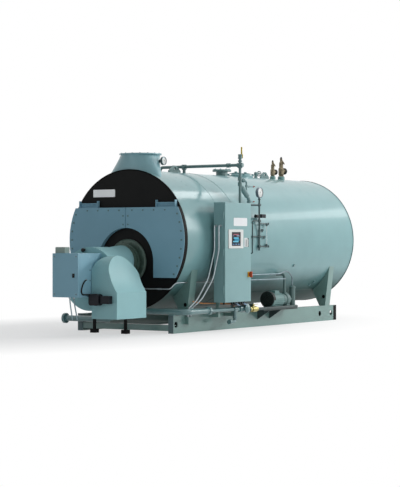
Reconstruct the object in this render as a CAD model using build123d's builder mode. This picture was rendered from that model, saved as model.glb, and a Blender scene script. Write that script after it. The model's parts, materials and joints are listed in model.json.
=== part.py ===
from build123d import *
import math
import os

os.makedirs("parts", exist_ok=True)

# Industrial fire-tube boiler on a skid, in millimetres.
# The origin is on the floor, under the centre of the front plate's face.
# +X is to the right seen from the front, +Y runs to the rear, +Z is up.

# Clearances shared by all pieces
seat_gap = 0.3
running_gap = 6
cut_overrun = 20

# Boiler body
shell_radius = 1067
shell_length = 5300
shell_wall = 60
shell_axis_z = 1388
smokebox_length = 600
front_plate_thickness = 16
rear_head_thickness = 16
rear_head_lip = 4
tube_sheet_thickness = 20
jacket_band_y = 1500
jacket_band_width = 30
jacket_band_height = 2.5

# Front doors and the brackets above them
door_radius = shell_radius
door_thickness = 72
door_top_z = 1878
door_bottom_z = 824
door_seam = 6
door_fold = 12
arch_radius = 508
arch_centre_z = 1062
bracket_inner_x = 540
bracket_outer_x = 892
bracket_top_z = 1950
bracket_ear_top_z = 1985
bracket_depth = 55
bracket_wall = 10

# Stack hood
stack_centre_y = 322
stack_radius = 300
stack_top_z = 2706
stack_wall = 8
stack_flange_radius = 325
stack_flange_thickness = 18
hood_base_z = 2250
hood_base_half_width = 540
hood_base_half_depth = 104
hood_base_centre_y = 122
flue_hole_length = 600
flue_hole_width = 300
flue_hole_centre_y = 216

# Stack thermometer
dial_radius = 64
dial_depth = 34
dial_centre_z = 2586
dial_stem_radius = 11
dial_stem_length = 52
dial_boss_radius = 24

# Skid
rail_web_x = 886
rail_height = 262
rail_flange_width = 90
rail_web_thickness = 12
rail_flange_thickness = 14
rail_front_y = -93
rail_rear_y = 4981
rail_end_plate_thickness = 12
rail_hole_radius = 45
rail_hole_front_y = -20
rail_hole_rear_y = 4400
rail_hole_end_y = 4800
cross_member_height = 90
cross_member_depth = 80
cross_member_wall = 10
cross_member_z = 36
middle_cross_member_y = 2450
rear_cross_member_y = 4880

# Saddles that carry the shell on the skid
saddle_front_y = 275
saddle_rear_y = 4593
saddle_depth = 165
saddle_plate = 16
saddle_foot_inner_x = 766
saddle_foot_outer_x = 882
saddle_tip_x = 970
saddle_tip_z = 950
saddle_inner_x = 640
saddle_hole_radius = 32
saddle_hole_x = 848
saddle_hole_z = 415

# Burner
drum_radius = 467
drum_axis_z = 816
drum_front_y = -972
drum_rear_y = -560
drum_rim = 14
burner_tube_radius = 245
burner_tube_front_y = -190
burner_flange_radius = 340
burner_flange_thickness = 40
burner_collar_radius = 275
burner_collar_thickness = 22
burner_collar_y = -120
box_left_x = -240
box_right_x = 223
box_front_y = -1530
box_bottom_z = 562
box_top_z = 1193
box_corner = 8
box_lid_depth = 40
box_lid_groove = 4
terminal_width = 175
terminal_depth = 120
terminal_height = 90
terminal_x = -128
terminal_y = -1440

# Air inlet hood beside the burner
hood_left_x = 230
hood_right_x = 680
hood_front_y = -1220
hood_rear_y = -495
hood_bottom_z = 250
hood_top_z = 1155
hood_side_top_x = 566
hood_side_top_z = 840
hood_side_high_x = 528
hood_side_high_z = 988
hood_shoulder_z = 630
hood_left_shoulder_z = 930
hood_arch_x = 430
hood_peak_right_x = 508
hood_nose_z = 905
hood_nose_y = -970
hood_back_top_y = -672
hood_back_top_z = 1056
hood_back_high_y = -532
hood_back_high_z = 945
hood_back_mid_y = -468
hood_back_mid_z = 812
intake_recess = 40
intake_margin = 30
actuator_bottom_z = 445
actuator_height = 166
actuator_left_x = 254
actuator_width = 176
actuator_depth = 110
actuator_corner = 40
actuator_box_width = 150
actuator_box_height = 112
actuator_box_depth = 84
actuator_neck = 18

# Burner stand
stand_leg_x = 286
stand_leg_y = -465
stand_leg_width = 36
stand_leg_top_z = 700
stand_pad_width = 96
stand_pad_height = 58

# Control panel
panel_standoff = 33
panel_depth = 200
panel_back_x = shell_radius + panel_standoff
panel_face_x = panel_back_x + panel_depth
panel_left_y = 687
panel_right_y = 1437
panel_bottom_z = 443
panel_top_z = 1955
panel_sheet = 4
panel_door_depth = 22
panel_door_gap = 5
panel_flange = 24
panel_hinge_radius = 9
panel_hinge_length = 55
panel_hinge_setback = 24.5
panel_hinge_x = panel_face_x - panel_hinge_setback
panel_hinge_y = panel_left_y - panel_hinge_radius
panel_pin_radius = 5
panel_hinge_zs = (640, 1199, 1758)
panel_plate_gap = 14
bezel_low_y = 772
bezel_high_y = 1195
bezel_low_z = 1259
bezel_high_z = 1547
bezel_depth = 14
screen_margin_y = 84
screen_margin_z = 38
screen_recess = 4
latch_y = 1300
latch_z = 1345
latch_width = 44
latch_height = 130
latch_depth = 26
switch_y = 1378
switch_z = 858
switch_plate = 84
switch_plate_depth = 10
switch_knob_radius = 30
switch_grip_length = 92
switch_grip_width = 24
switch_grip_depth = 46

# Panel stand
post_width = 50
post_front_y = 880
post_rear_y = 1310
post_gap = 42
post_outer_x = panel_back_x - post_gap
post_inner_x = post_outer_x - post_width
post_top_z = 980
arm_height = 50
tab_height = 60
tab_low_z = 500
tab_high_z = 900

# Pipes
gas_pipe_radius = 44.5
gas_bend_radius = 90
gas_inlet_x = -1043
gas_low_y = -200
gas_low_z = 188
gas_front_y = -75
gas_high_z = 323
gas_side_standoff = 51
gas_side_x = shell_radius + gas_side_standoff
gas_flange_radius = 78
gas_flange_thickness = 20
gas_union_radius = 66
gas_union_length = 60
gas_union_y = 478
gas_small_radius = 30
gas_drain_y = 1258
gas_drain_low_z = 132
gas_drain_run = 170
gas_regulator_y = 1497
gas_end_y = 1600
riser_x = 100

# Feed water line and pump
feed_standoff = 83
feed_x = shell_radius + feed_standoff
feed_radius = 22
feed_start_y = 1626
feed_valve_y = 1650
feed_valve_length = 220
pump_inset = 17
pump_x = shell_radius - pump_inset
pump_axis_z = 424
motor_radius = 112
motor_fin_height = 6
motor_fin_thickness = 7
motor_fins = 22
motor_front_y = 2417
motor_length = 300
fan_cover_radius = 128
fan_cover_length = 70
pump_casing_radius = 104
pump_casing_length = 230
pump_riser_share = 0.8
pump_plate_lead = 290
pump_plate_tail = 56
pump_plate_reach_in = 220
pump_plate_reach_out = 68
pump_plate_inner_x = pump_x - pump_plate_reach_in
pump_plate_outer_x = pump_x + pump_plate_reach_out
pump_plate_thickness = 22
gusset_lead = 100
gusset_tail = 27
gusset_reach = 228
gusset_drop = 146
gusset_thickness = 12
strainer_gap = 210
strainer_radius = 48
strainer_top_z = 650

# Fittings on the top centre line
front_lug_y = 1248
front_lug_length = 320
lug_height = 110
lug_thickness = 24
lug_hole_radius = 26
rear_lug_y = 4030
rear_lug_length = 270
nozzle_y = 2650
nozzle_flange_radius = 155
nozzle_flange_thickness = 34
nozzle_neck_radius = 95
nozzle_height = 101
nozzle_top_z = shell_axis_z + shell_radius + nozzle_height
manway_y = 3243
manway_half_length = 250
manway_half_width = 200
manway_ring_height = 24
manway_cover_height = 22
yoke_spread = 150
yoke_foot = 26
angle_valve_y = 3800
safety_front_y = 4311
safety_front_height = 330
safety_rear_y = 4605
safety_rear_height = 400

# Steam pressure header over the top and down the side
header_y = 1462
header_height = 97
header_z = shell_axis_z + shell_radius + header_height
header_radius = 24
header_bend = 55
header_left_x = -420
header_stub_x = 43
trim_standoff = 19
header_side_x = shell_radius + trim_standoff
header_stem_height = 98
header_side_top_z = header_z + header_stem_height
header_side_elbow_z = 1925
siphon_radius = 27

# Water column trim
column_x = header_side_x
column_y = 2043
column_radius = 14
column_bottom_z = 1222
column_top_z = 2052
column_second_y = 1836
column_drain_z = 1180
gauge_radius = 84
gauge_depth = 46
gauge_z = 2140
glass_y = 2272
glass_radius = 9

# Conduits
conduit_radius = 11
thin_conduit_radius = 8
conduit_out_y = 637
conduit_run_share = 0.45
conduit_largest_bend = 500
conduit_box_low_y = 210
conduit_box_length = 140
conduit_box_depth = 70
conduit_box_height = 110
conduit_box_top_z = 240
front_conduit_x = 878
front_conduit_y = -62
front_conduit_low_z = 657
front_conduit_high_z = 750
front_conduit_start_x = 250
front_conduit_side_x = 811
front_conduit_turn_y = -20
front_conduit_end_y = 790


def facing_front(y):
    return Plane(origin=(0, y, 0), x_dir=(1, 0, 0), z_dir=(0, -1, 0))


def facing_right(x):
    return Plane(origin=(x, 0, 0), x_dir=(0, 1, 0), z_dir=(1, 0, 0))


def shell_z_at(x, radius=shell_radius):
    return shell_axis_z + math.sqrt(radius**2 - x**2)


def shell_x_at(z, radius=shell_radius):
    return math.sqrt(radius**2 - (z - shell_axis_z) ** 2)


# A round bar or pipe that follows straight runs with rounded corners
def pipe_run(points, radius, bend):
    with BuildPart() as pipe:
        with BuildLine() as route:
            if len(points) > 2:
                FilletPolyline(*points, radius=bend)
            else:
                Line(*points)
        with BuildSketch(Plane(origin=route.line @ 0, z_dir=route.line % 0)):
            Circle(radius)
        sweep(path=route.line)
    return pipe.part


# Bend radii that fit the runs on both sides of each turn of a route
def bend_radii(points, run_share, largest):
    corners = [Vector(*point) for point in points]
    radii = []
    for before, corner, after in zip(corners, corners[1:], corners[2:]):
        arriving = corner - before
        leaving = after - corner
        half_turn = math.radians(arriving.get_angle(leaving)) / 2
        radii.append(min(largest, run_share * min(arriving.length, leaving.length) / math.tan(half_turn)))
    return radii


# A turned piece: the outline gives (radius, distance along the axis)
def turned(origin, direction, outline):
    axis_plane = Plane(origin=origin, z_dir=direction)
    side_plane = Plane(origin=origin, x_dir=axis_plane.x_dir, z_dir=-axis_plane.y_dir)
    with BuildPart() as piece:
        with BuildSketch(side_plane):
            with BuildLine():
                Polyline(*outline, close=True)
            make_face()
        revolve(axis=Axis(origin, direction))
    return piece.part


# A plain round disc or collar from its centre, along one direction
def collar(centre, direction, radius, length):
    return turned(centre, direction, [(0, 0), (radius, 0), (radius, length), (0, length)])


# The round shell: smokebox, pressure shell, heads
with BuildPart() as smokebox:
    with BuildSketch(facing_front(front_plate_thickness)):
        with Locations((0, shell_axis_z)):
            Circle(shell_radius)
            Circle(shell_radius - shell_wall, mode=Mode.SUBTRACT)
    extrude(amount=-(smokebox_length - front_plate_thickness))
    with BuildSketch(Plane.XY.offset(shell_axis_z)):
        with Locations((0, flue_hole_centre_y)):
            SlotOverall(flue_hole_length, flue_hole_width)
    extrude(amount=shell_radius + cut_overrun, mode=Mode.SUBTRACT)
smokebox.part.label = "smokebox"
export_step(smokebox.part, "parts/smokebox.step")

shell_end_y = shell_length - rear_head_thickness
with BuildPart() as shell:
    with BuildSketch(facing_front(smokebox_length)):
        with Locations((0, shell_axis_z)):
            Circle(shell_radius)
            Circle(shell_radius - shell_wall, mode=Mode.SUBTRACT)
    extrude(amount=-(shell_end_y - smokebox_length))
    with BuildSketch(facing_front(jacket_band_y)):
        with Locations((0, shell_axis_z)):
            Circle(shell_radius + jacket_band_height)
            Circle(shell_radius - shell_wall, mode=Mode.SUBTRACT)
    extrude(amount=-jacket_band_width)
shell.part.label = "shell"
export_step(shell.part, "parts/shell.step")

with BuildPart() as tube_sheet:
    with BuildSketch(facing_front(smokebox_length)):
        with Locations((0, shell_axis_z)):
            Circle(shell_radius - shell_wall - seat_gap)
    extrude(amount=-tube_sheet_thickness)
tube_sheet.part.label = "tube_sheet"
export_step(tube_sheet.part, "parts/tube_sheet.step")

with BuildPart() as front_plate:
    with BuildSketch(facing_front(0)):
        with Locations((0, shell_axis_z)):
            Circle(shell_radius)
        with Locations((0, arch_centre_z)):
            Circle(burner_tube_radius, mode=Mode.SUBTRACT)
    extrude(amount=-front_plate_thickness)
front_plate.part.label = "front_plate"
export_step(front_plate.part, "parts/front_plate.step")

with BuildPart() as rear_head:
    with BuildSketch(facing_front(shell_end_y)):
        with Locations((0, shell_axis_z)):
            Circle(shell_radius + rear_head_lip)
    extrude(amount=-rear_head_thickness)
rear_head.part.label = "rear_head"
export_step(rear_head.part, "parts/rear_head.step")

# Two bolted doors cover the lower front, cut away round the burner
for side, name in ((-1, "door_left"), (1, "door_right")):
    with BuildPart() as front_door:
        with BuildSketch(facing_front(-door_thickness)):
            with Locations((0, shell_axis_z)):
                Circle(door_radius)
            with Locations((side * door_radius / 2 + side * door_seam / 2,
                            (door_top_z + door_bottom_z) / 2)):
                Rectangle(door_radius, door_top_z - door_bottom_z, mode=Mode.INTERSECT)
            with Locations((0, arch_centre_z)):
                Circle(arch_radius, mode=Mode.SUBTRACT)
            with Locations((0, (door_bottom_z + arch_centre_z) / 2 - cut_overrun)):
                Rectangle(2 * arch_radius, arch_centre_z - door_bottom_z + 2 * cut_overrun,
                          mode=Mode.SUBTRACT)
        extrude(amount=-door_thickness)
        chamfer(front_door.faces().sort_by(Axis.Y)[0].edges(), length=door_fold / 3)
    front_door.part.label = name
    export_step(front_door.part, f"parts/{name}.step")

# A folded channel with two ears holds each door along its top edge
bracket_length = bracket_outer_x - bracket_inner_x
with BuildPart() as door_brackets:
    for side in (-1, 1):
        bracket_middle = side * (bracket_inner_x + bracket_outer_x) / 2
        with BuildSketch(facing_front(-bracket_depth)):
            with Locations((bracket_middle, (door_top_z + bracket_top_z) / 2)):
                Rectangle(bracket_length, bracket_top_z - door_top_z)
        extrude(amount=-bracket_depth)
        with BuildSketch(facing_right(bracket_middle - bracket_length / 2 - cut_overrun)):
            with Locations((-bracket_depth - bracket_wall, (door_top_z + bracket_top_z) / 2)):
                Rectangle(2 * bracket_depth - 2 * bracket_wall,
                          bracket_top_z - door_top_z - 2 * bracket_wall)
        extrude(amount=bracket_length + 2 * cut_overrun, mode=Mode.SUBTRACT)
        with BuildSketch(facing_front(-bracket_depth)):
            for ear_x in (bracket_middle - bracket_length / 2, bracket_middle + bracket_length / 2):
                inward = 1 if ear_x < bracket_middle else -1
                with Locations((ear_x + inward * bracket_wall / 2, (door_top_z + bracket_ear_top_z) / 2)):
                    Rectangle(bracket_wall, bracket_ear_top_z - door_top_z)
        extrude(amount=-bracket_depth)
door_brackets.part.label = "door_brackets"
export_step(door_brackets.part, "parts/door_brackets.step")

# The stack hood blends a wide oval on the smokebox into the round stack
hood_height = stack_top_z - stack_flange_thickness - hood_base_z
with BuildPart() as hood_outside:
    with BuildSketch(Plane.XY.offset(hood_base_z)):
        with Locations((0, hood_base_centre_y)):
            Ellipse(hood_base_half_width, hood_base_half_depth)
    with BuildSketch(Plane.XY.offset(hood_base_z + hood_height)):
        with Locations((0, stack_centre_y)):
            Circle(stack_radius)
    loft(ruled=True)
with BuildPart() as stack_hood:
    add(hood_outside.part)
    with BuildSketch(Plane.XY.offset(hood_base_z)):
        with Locations((0, hood_base_centre_y)):
            Ellipse(hood_base_half_width - stack_wall, hood_base_half_depth - stack_wall)
    with BuildSketch(Plane.XY.offset(hood_base_z + hood_height)):
        with Locations((0, stack_centre_y)):
            Circle(stack_radius - stack_wall)
    loft(ruled=True, mode=Mode.SUBTRACT)
    with BuildSketch(facing_front(-cut_overrun)):
        with Locations((0, shell_axis_z)):
            Circle(shell_radius + seat_gap)
    extrude(amount=-smokebox_length, mode=Mode.SUBTRACT)
    with BuildSketch(Plane.XY.offset(stack_top_z - stack_flange_thickness)):
        with Locations((0, stack_centre_y)):
            Circle(stack_flange_radius)
            Circle(stack_radius - stack_wall, mode=Mode.SUBTRACT)
    extrude(amount=stack_flange_thickness)
stack_hood.part.label = "stack_hood"
export_step(stack_hood.part, "parts/stack_hood.step")

# Dial thermometer on the right side of the hood, facing right
hood_share = (dial_centre_z - hood_base_z) / hood_height
hood_wall_x = hood_base_half_width + (stack_radius - hood_base_half_width) * hood_share
dial_back_x = hood_wall_x + dial_stem_length
with BuildPart() as stack_thermometer:
    add(collar((hood_wall_x - dial_stem_radius, stack_centre_y, dial_centre_z), (1, 0, 0),
               dial_stem_radius, dial_stem_length + dial_stem_radius))
    add(collar((hood_wall_x, stack_centre_y, dial_centre_z), (1, 0, 0), dial_boss_radius,
               dial_stem_length / 2))
    add(collar((dial_back_x, stack_centre_y, dial_centre_z), (1, 0, 0), dial_radius, dial_depth))
    with BuildSketch(facing_right(dial_back_x + dial_depth - running_gap)):
        with Locations((stack_centre_y, dial_centre_z)):
            Circle(dial_radius - running_gap)
    extrude(amount=running_gap, mode=Mode.SUBTRACT)
    add(hood_outside.part, mode=Mode.SUBTRACT)
stack_thermometer.part.label = "stack_thermometer"
export_step(stack_thermometer.part, "parts/stack_thermometer.step")

# Skid: two channel rails with their flanges turned inwards, and cross members
rail_length = rail_rear_y - rail_front_y
for side, name in ((-1, "skid_rail_left"), (1, "skid_rail_right")):
    with BuildPart() as skid_rail:
        with BuildSketch(facing_front(rail_front_y)):
            with Locations((side * (rail_web_x - rail_flange_width / 2), rail_height / 2)):
                Rectangle(rail_flange_width, rail_height)
            with Locations((side * (rail_web_x - rail_web_thickness - rail_flange_width / 2),
                            rail_height / 2)):
                Rectangle(rail_flange_width, rail_height - 2 * rail_flange_thickness, mode=Mode.SUBTRACT)
        extrude(amount=-rail_length)
        for plate_y in (rail_front_y, rail_rear_y - rail_end_plate_thickness):
            with BuildSketch(facing_front(plate_y)):
                with Locations((side * (rail_web_x - rail_flange_width / 2), rail_height / 2)):
                    Rectangle(rail_flange_width, rail_height)
            extrude(amount=-rail_end_plate_thickness)
        with BuildSketch(Plane.YZ.offset(side * rail_web_x - rail_web_thickness * 2)):
            for hole_y in (rail_hole_front_y, rail_hole_rear_y, rail_hole_end_y):
                with Locations((hole_y, rail_height / 2)):
                    Circle(rail_hole_radius)
        extrude(amount=4 * rail_web_thickness, mode=Mode.SUBTRACT)
    skid_rail.part.label = name
    export_step(skid_rail.part, f"parts/{name}.step")

web_inner_x = rail_web_x - rail_web_thickness
with BuildPart() as cross_members:
    for member_y in (rail_front_y + rail_end_plate_thickness, middle_cross_member_y, rear_cross_member_y):
        with BuildSketch(Plane.YZ.offset(-web_inner_x)):
            with Locations((member_y + cross_member_depth / 2, cross_member_z + cross_member_height / 2)):
                Rectangle(cross_member_depth, cross_member_height)
            with Locations((member_y + cross_member_depth / 2 + cross_member_wall,
                            cross_member_z + cross_member_height / 2)):
                Rectangle(cross_member_depth, cross_member_height - 2 * cross_member_wall,
                          mode=Mode.SUBTRACT)
        extrude(amount=2 * web_inner_x)
cross_members.part.label = "cross_members"
export_step(cross_members.part, "parts/cross_members.step")

# Each saddle: a web on both rails cut to the shell, with a wide sloping face plate outside
with BuildPart() as saddles:
    for saddle_y in (saddle_front_y, saddle_rear_y):
        for side in (-1, 1):
            with BuildSketch(facing_front(saddle_y)):
                with BuildLine():
                    Polyline(
                        (side * saddle_foot_inner_x, rail_height),
                        (side * saddle_foot_outer_x, rail_height),
                        (side * saddle_tip_x, saddle_tip_z),
                        (side * saddle_inner_x, shell_axis_z),
                        (side * saddle_inner_x, saddle_hole_z + 3 * saddle_hole_radius),
                        close=True,
                    )
                make_face()
                with Locations((side * saddle_hole_x, saddle_hole_z)):
                    Circle(saddle_hole_radius, mode=Mode.SUBTRACT)
            extrude(amount=-saddle_plate)
            with BuildSketch(facing_front(saddle_y)):
                with BuildLine():
                    Polyline(
                        (side * (saddle_foot_outer_x - saddle_plate), rail_height),
                        (side * saddle_foot_outer_x, rail_height),
                        (side * saddle_tip_x, saddle_tip_z),
                        (side * (saddle_tip_x - saddle_plate), saddle_tip_z),
                        close=True,
                    )
                make_face()
            extrude(amount=-saddle_depth)
            with BuildSketch(Plane.XY.offset(rail_height)):
                with Locations((side * (saddle_foot_inner_x + saddle_foot_outer_x) / 2,
                                saddle_y + saddle_depth / 2)):
                    Rectangle(saddle_foot_outer_x - saddle_foot_inner_x, saddle_depth)
            extrude(amount=saddle_plate)
        with BuildSketch(facing_front(saddle_y - cut_overrun)):
            with Locations((0, shell_axis_z)):
                Circle(shell_radius + seat_gap)
        extrude(amount=-(saddle_depth + 2 * cut_overrun), mode=Mode.SUBTRACT)
    with BuildSketch(facing_front(saddle_front_y - cut_overrun)):
        with Locations((front_conduit_x, front_conduit_high_z)):
            Circle(2 * thin_conduit_radius)
    extrude(amount=-(saddle_plate + 2 * cut_overrun), mode=Mode.SUBTRACT)
saddles.part.label = "saddles"
export_step(saddles.part, "parts/saddles.step")

# Burner: the fan drum narrows back into the blast tube
with BuildPart() as burner_housing:
    with BuildSketch(facing_front(drum_front_y)):
        with Locations((0, drum_axis_z)):
            Circle(drum_radius)
    extrude(amount=-(drum_rear_y - drum_front_y))
    with BuildSketch(facing_front(drum_rear_y)):
        with Locations((0, drum_axis_z)):
            Circle(drum_radius - drum_rim)
    with BuildSketch(facing_front(burner_tube_front_y)):
        with Locations((0, arch_centre_z)):
            Circle(burner_tube_radius)
    loft(ruled=True)
burner_housing.part.label = "burner_housing"
export_step(burner_housing.part, "parts/burner_housing.step")

with BuildPart() as burner_tube:
    add(collar((0, burner_tube_front_y, arch_centre_z), (0, 1, 0), burner_tube_radius,
               -burner_tube_front_y - burner_flange_thickness))
    add(collar((0, burner_collar_y, arch_centre_z), (0, 1, 0), burner_collar_radius,
               burner_collar_thickness))
burner_tube.part.label = "burner_tube"
export_step(burner_tube.part, "parts/burner_tube.step")

with BuildPart() as burner_flange:
    add(collar((0, -burner_flange_thickness, arch_centre_z), (0, 1, 0), burner_flange_radius,
               burner_flange_thickness))
    chamfer(burner_flange.faces().sort_by(Axis.Y)[0].edges(), length=burner_flange_thickness / 2)
burner_flange.part.label = "burner_flange"
export_step(burner_flange.part, "parts/burner_flange.step")

box_width = box_right_x - box_left_x
box_middle_x = (box_left_x + box_right_x) / 2
box_height = box_top_z - box_bottom_z
with BuildPart() as burner_control_box:
    with BuildSketch(facing_front(box_front_y)):
        with Locations((box_middle_x, (box_bottom_z + box_top_z) / 2)):
            RectangleRounded(box_width, box_height, box_corner)
    extrude(amount=-(drum_front_y - box_front_y))
    with BuildSketch(facing_front(box_front_y + box_lid_depth)):
        with Locations((box_middle_x, (box_bottom_z + box_top_z) / 2)):
            Rectangle(box_width + cut_overrun, box_height + cut_overrun)
            RectangleRounded(box_width - 2 * box_lid_groove, box_height - 2 * box_lid_groove, box_corner,
                             mode=Mode.SUBTRACT)
    extrude(amount=-box_lid_groove, mode=Mode.SUBTRACT)
    with BuildSketch(Plane.XY.offset(box_top_z)):
        with Locations((terminal_x, terminal_y)):
            RectangleRounded(terminal_width, terminal_depth, box_corner)
    extrude(amount=terminal_height)
    chamfer(burner_control_box.faces().sort_by(Axis.Z)[-1].edges(), length=box_corner)
burner_control_box.part.label = "burner_control_box"
export_step(burner_control_box.part, "parts/burner_control_box.step")

# Sheet-metal air inlet hood: one outline from the front, another from the side
with BuildPart() as air_inlet_hood:
    with BuildSketch(facing_front(hood_front_y)):
        with BuildLine():
            left_side = Line((hood_left_x, hood_bottom_z), (hood_left_x, hood_left_shoulder_z))
            left_arch = EllipticalCenterArc((hood_arch_x, hood_left_shoulder_z), hood_arch_x - hood_left_x,
                                            hood_top_z - hood_left_shoulder_z, start_angle=90, arc_size=90)
            Line((hood_arch_x, hood_top_z), (hood_peak_right_x, hood_top_z))
            right_sweep = Spline(
                (hood_peak_right_x, hood_top_z),
                (hood_side_high_x, hood_side_high_z),
                (hood_side_top_x, hood_side_top_z),
                (hood_right_x, hood_shoulder_z),
            )
            Polyline(
                (hood_right_x, hood_shoulder_z),
                (hood_right_x, hood_bottom_z),
                (hood_left_x, hood_bottom_z),
            )
        make_face()
    extrude(amount=-(hood_rear_y - hood_front_y))
    with BuildSketch(Plane.YZ.offset(hood_left_x)):
        with BuildLine():
            front_rise = Line((hood_front_y, hood_bottom_z), (hood_front_y, hood_nose_z))
            nose = EllipticalCenterArc((hood_nose_y, hood_nose_z), hood_nose_y - hood_front_y,
                                       hood_top_z - hood_nose_z, start_angle=90, arc_size=90)
            back = Spline(
                (hood_nose_y, hood_top_z),
                (hood_back_top_y, hood_back_top_z),
                (hood_back_high_y, hood_back_high_z),
                (hood_back_mid_y, hood_back_mid_z),
                (hood_rear_y, hood_shoulder_z),
                tangents=((1, 0), (0, -1)),
            )
            Polyline((hood_rear_y, hood_shoulder_z), (hood_rear_y, hood_bottom_z),
                     (hood_front_y, hood_bottom_z))
        make_face()
    extrude(amount=hood_right_x - hood_left_x, mode=Mode.INTERSECT)
    add(collar((0, drum_front_y - cut_overrun, drum_axis_z), (0, 1, 0), drum_radius + seat_gap,
               burner_tube_front_y - drum_front_y), mode=Mode.SUBTRACT)
    with BuildSketch(Plane.XY.offset(hood_bottom_z)):
        with Locations(((hood_left_x + hood_right_x) / 2, (hood_front_y + hood_rear_y) / 2)):
            Rectangle(hood_right_x - hood_left_x - 2 * intake_margin,
                      hood_rear_y - hood_front_y - 2 * intake_margin)
    extrude(amount=intake_recess, mode=Mode.SUBTRACT)
air_inlet_hood.part.label = "air_inlet_hood"
export_step(air_inlet_hood.part, "parts/air_inlet_hood.step")

# Damper actuator on the front of the hood: a ribbed motor and a small gearbox
actuator_middle_z = actuator_bottom_z + actuator_height / 2
with BuildPart() as damper_actuator:
    with BuildSketch(facing_front(hood_front_y)):
        with Locations((actuator_left_x + actuator_width / 2, actuator_middle_z)):
            RectangleRounded(actuator_width, actuator_height, actuator_corner)
    extrude(amount=actuator_depth)
    with BuildSketch(facing_front(hood_front_y)):
        with Locations((actuator_left_x + actuator_width + actuator_box_width / 2 + actuator_neck,
                        actuator_middle_z)):
            RectangleRounded(actuator_box_width, actuator_box_height, box_corner)
    extrude(amount=actuator_box_depth)
    with BuildSketch(facing_front(hood_front_y)):
        with Locations((actuator_left_x + actuator_width + actuator_neck / 2, actuator_middle_z)):
            Rectangle(actuator_neck + box_corner, actuator_box_height / 2)
    extrude(amount=actuator_box_depth / 2)
damper_actuator.part.label = "damper_actuator"
export_step(damper_actuator.part, "parts/damper_actuator.step")

# Two floor legs carry the burner behind its drum
with BuildPart() as burner_stand:
    with BuildSketch():
        with Locations((-stand_leg_x, stand_leg_y), (stand_leg_x, stand_leg_y)):
            Rectangle(stand_pad_width, stand_pad_width)
    extrude(amount=stand_pad_height)
    with BuildSketch():
        with Locations((-stand_leg_x, stand_leg_y), (stand_leg_x, stand_leg_y)):
            Rectangle(stand_leg_width, stand_leg_width)
    extrude(amount=stand_leg_top_z)
    add(burner_housing.part, mode=Mode.SUBTRACT)
burner_stand.part.label = "burner_stand"
export_step(burner_stand.part, "parts/burner_stand.step")

# Control panel: an enclosure that is open to the front, with a back plate inside
panel_width = panel_right_y - panel_left_y
panel_height = panel_top_z - panel_bottom_z
panel_middle_y = (panel_left_y + panel_right_y) / 2
panel_middle_z = (panel_bottom_z + panel_top_z) / 2
panel_mouth_x = panel_face_x - panel_door_depth
with BuildPart() as panel_enclosure:
    with BuildSketch(Plane.YZ.offset(panel_back_x)):
        with Locations((panel_middle_y, panel_middle_z)):
            Rectangle(panel_width, panel_height)
    extrude(amount=panel_mouth_x - panel_back_x - panel_door_gap)
    with BuildSketch(Plane.YZ.offset(panel_back_x + panel_sheet)):
        with Locations((panel_middle_y, panel_middle_z)):
            Rectangle(panel_width - 2 * panel_sheet, panel_height - 2 * panel_sheet)
    extrude(amount=panel_mouth_x - panel_back_x, mode=Mode.SUBTRACT)
    with BuildSketch(Plane.YZ.offset(panel_mouth_x - panel_door_gap - panel_sheet)):
        with Locations((panel_middle_y, panel_middle_z)):
            Rectangle(panel_width, panel_height)
            Rectangle(panel_width - 2 * panel_flange, panel_height - 2 * panel_flange, mode=Mode.SUBTRACT)
    extrude(amount=panel_sheet)
    for hinge_z in panel_hinge_zs:
        add(collar((panel_hinge_x, panel_hinge_y, hinge_z - panel_hinge_length), (0, 0, 1),
                   panel_hinge_radius, panel_hinge_length))
        add(collar((panel_hinge_x, panel_hinge_y, hinge_z), (0, 0, 1), panel_pin_radius,
                   panel_hinge_length))
        with BuildSketch(Plane.XY.offset(hinge_z - panel_hinge_length)):
            with Locations((panel_hinge_x - panel_hinge_radius * 0.66,
                            panel_hinge_y + panel_hinge_radius * 0.6)):
                Rectangle(panel_hinge_radius * 0.64, panel_hinge_radius * 1.2)
        extrude(amount=panel_hinge_length)
    with BuildSketch(Plane.YZ.offset(panel_back_x + panel_sheet + panel_plate_gap)):
        with Locations((panel_middle_y, panel_middle_z)):
            Rectangle(panel_width - 4 * panel_flange, panel_height - 4 * panel_flange)
    extrude(amount=panel_sheet)
    with BuildSketch(Plane.YZ.offset(panel_back_x + panel_sheet)):
        with Locations((panel_middle_y, panel_middle_z)):
            with GridLocations(panel_width - 6 * panel_flange, panel_height - 6 * panel_flange, 2, 2):
                Circle(panel_hinge_radius)
    extrude(amount=panel_plate_gap)
panel_enclosure.part.label = "panel_enclosure"
export_step(panel_enclosure.part, "parts/panel_enclosure.step")

# The door is a folded tray that hangs on its left edge
with BuildPart() as panel_door:
    with BuildSketch(Plane.YZ.offset(panel_mouth_x)):
        with Locations((panel_middle_y, panel_middle_z)):
            Rectangle(panel_width, panel_height)
    extrude(amount=panel_door_depth)
    chamfer(panel_door.faces().sort_by(Axis.X)[-1].edges(), length=panel_sheet)
    with BuildSketch(Plane.YZ.offset(panel_mouth_x)):
        with Locations((panel_middle_y, panel_middle_z)):
            Rectangle(panel_width - 4 * panel_sheet, panel_height - 4 * panel_sheet)
    extrude(amount=panel_door_depth - 2 * panel_sheet, mode=Mode.SUBTRACT)
    for hinge_z in panel_hinge_zs:
        add(collar((panel_hinge_x, panel_hinge_y, hinge_z + seat_gap), (0, 0, 1),
                   panel_hinge_radius, panel_hinge_length - seat_gap))
        with BuildSketch(Plane.XY.offset(hinge_z + seat_gap)):
            with Locations((panel_hinge_x + panel_hinge_radius * 0.66,
                            panel_hinge_y + panel_hinge_radius * 0.6)):
                Rectangle(panel_hinge_radius * 0.64, panel_hinge_radius * 1.2)
        extrude(amount=panel_hinge_length - seat_gap)
        add(collar((panel_hinge_x, panel_hinge_y, hinge_z - seat_gap), (0, 0, 1),
                   panel_pin_radius + seat_gap, panel_hinge_length + 2 * seat_gap), mode=Mode.SUBTRACT)
panel_door.part.label = "panel_door"
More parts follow.
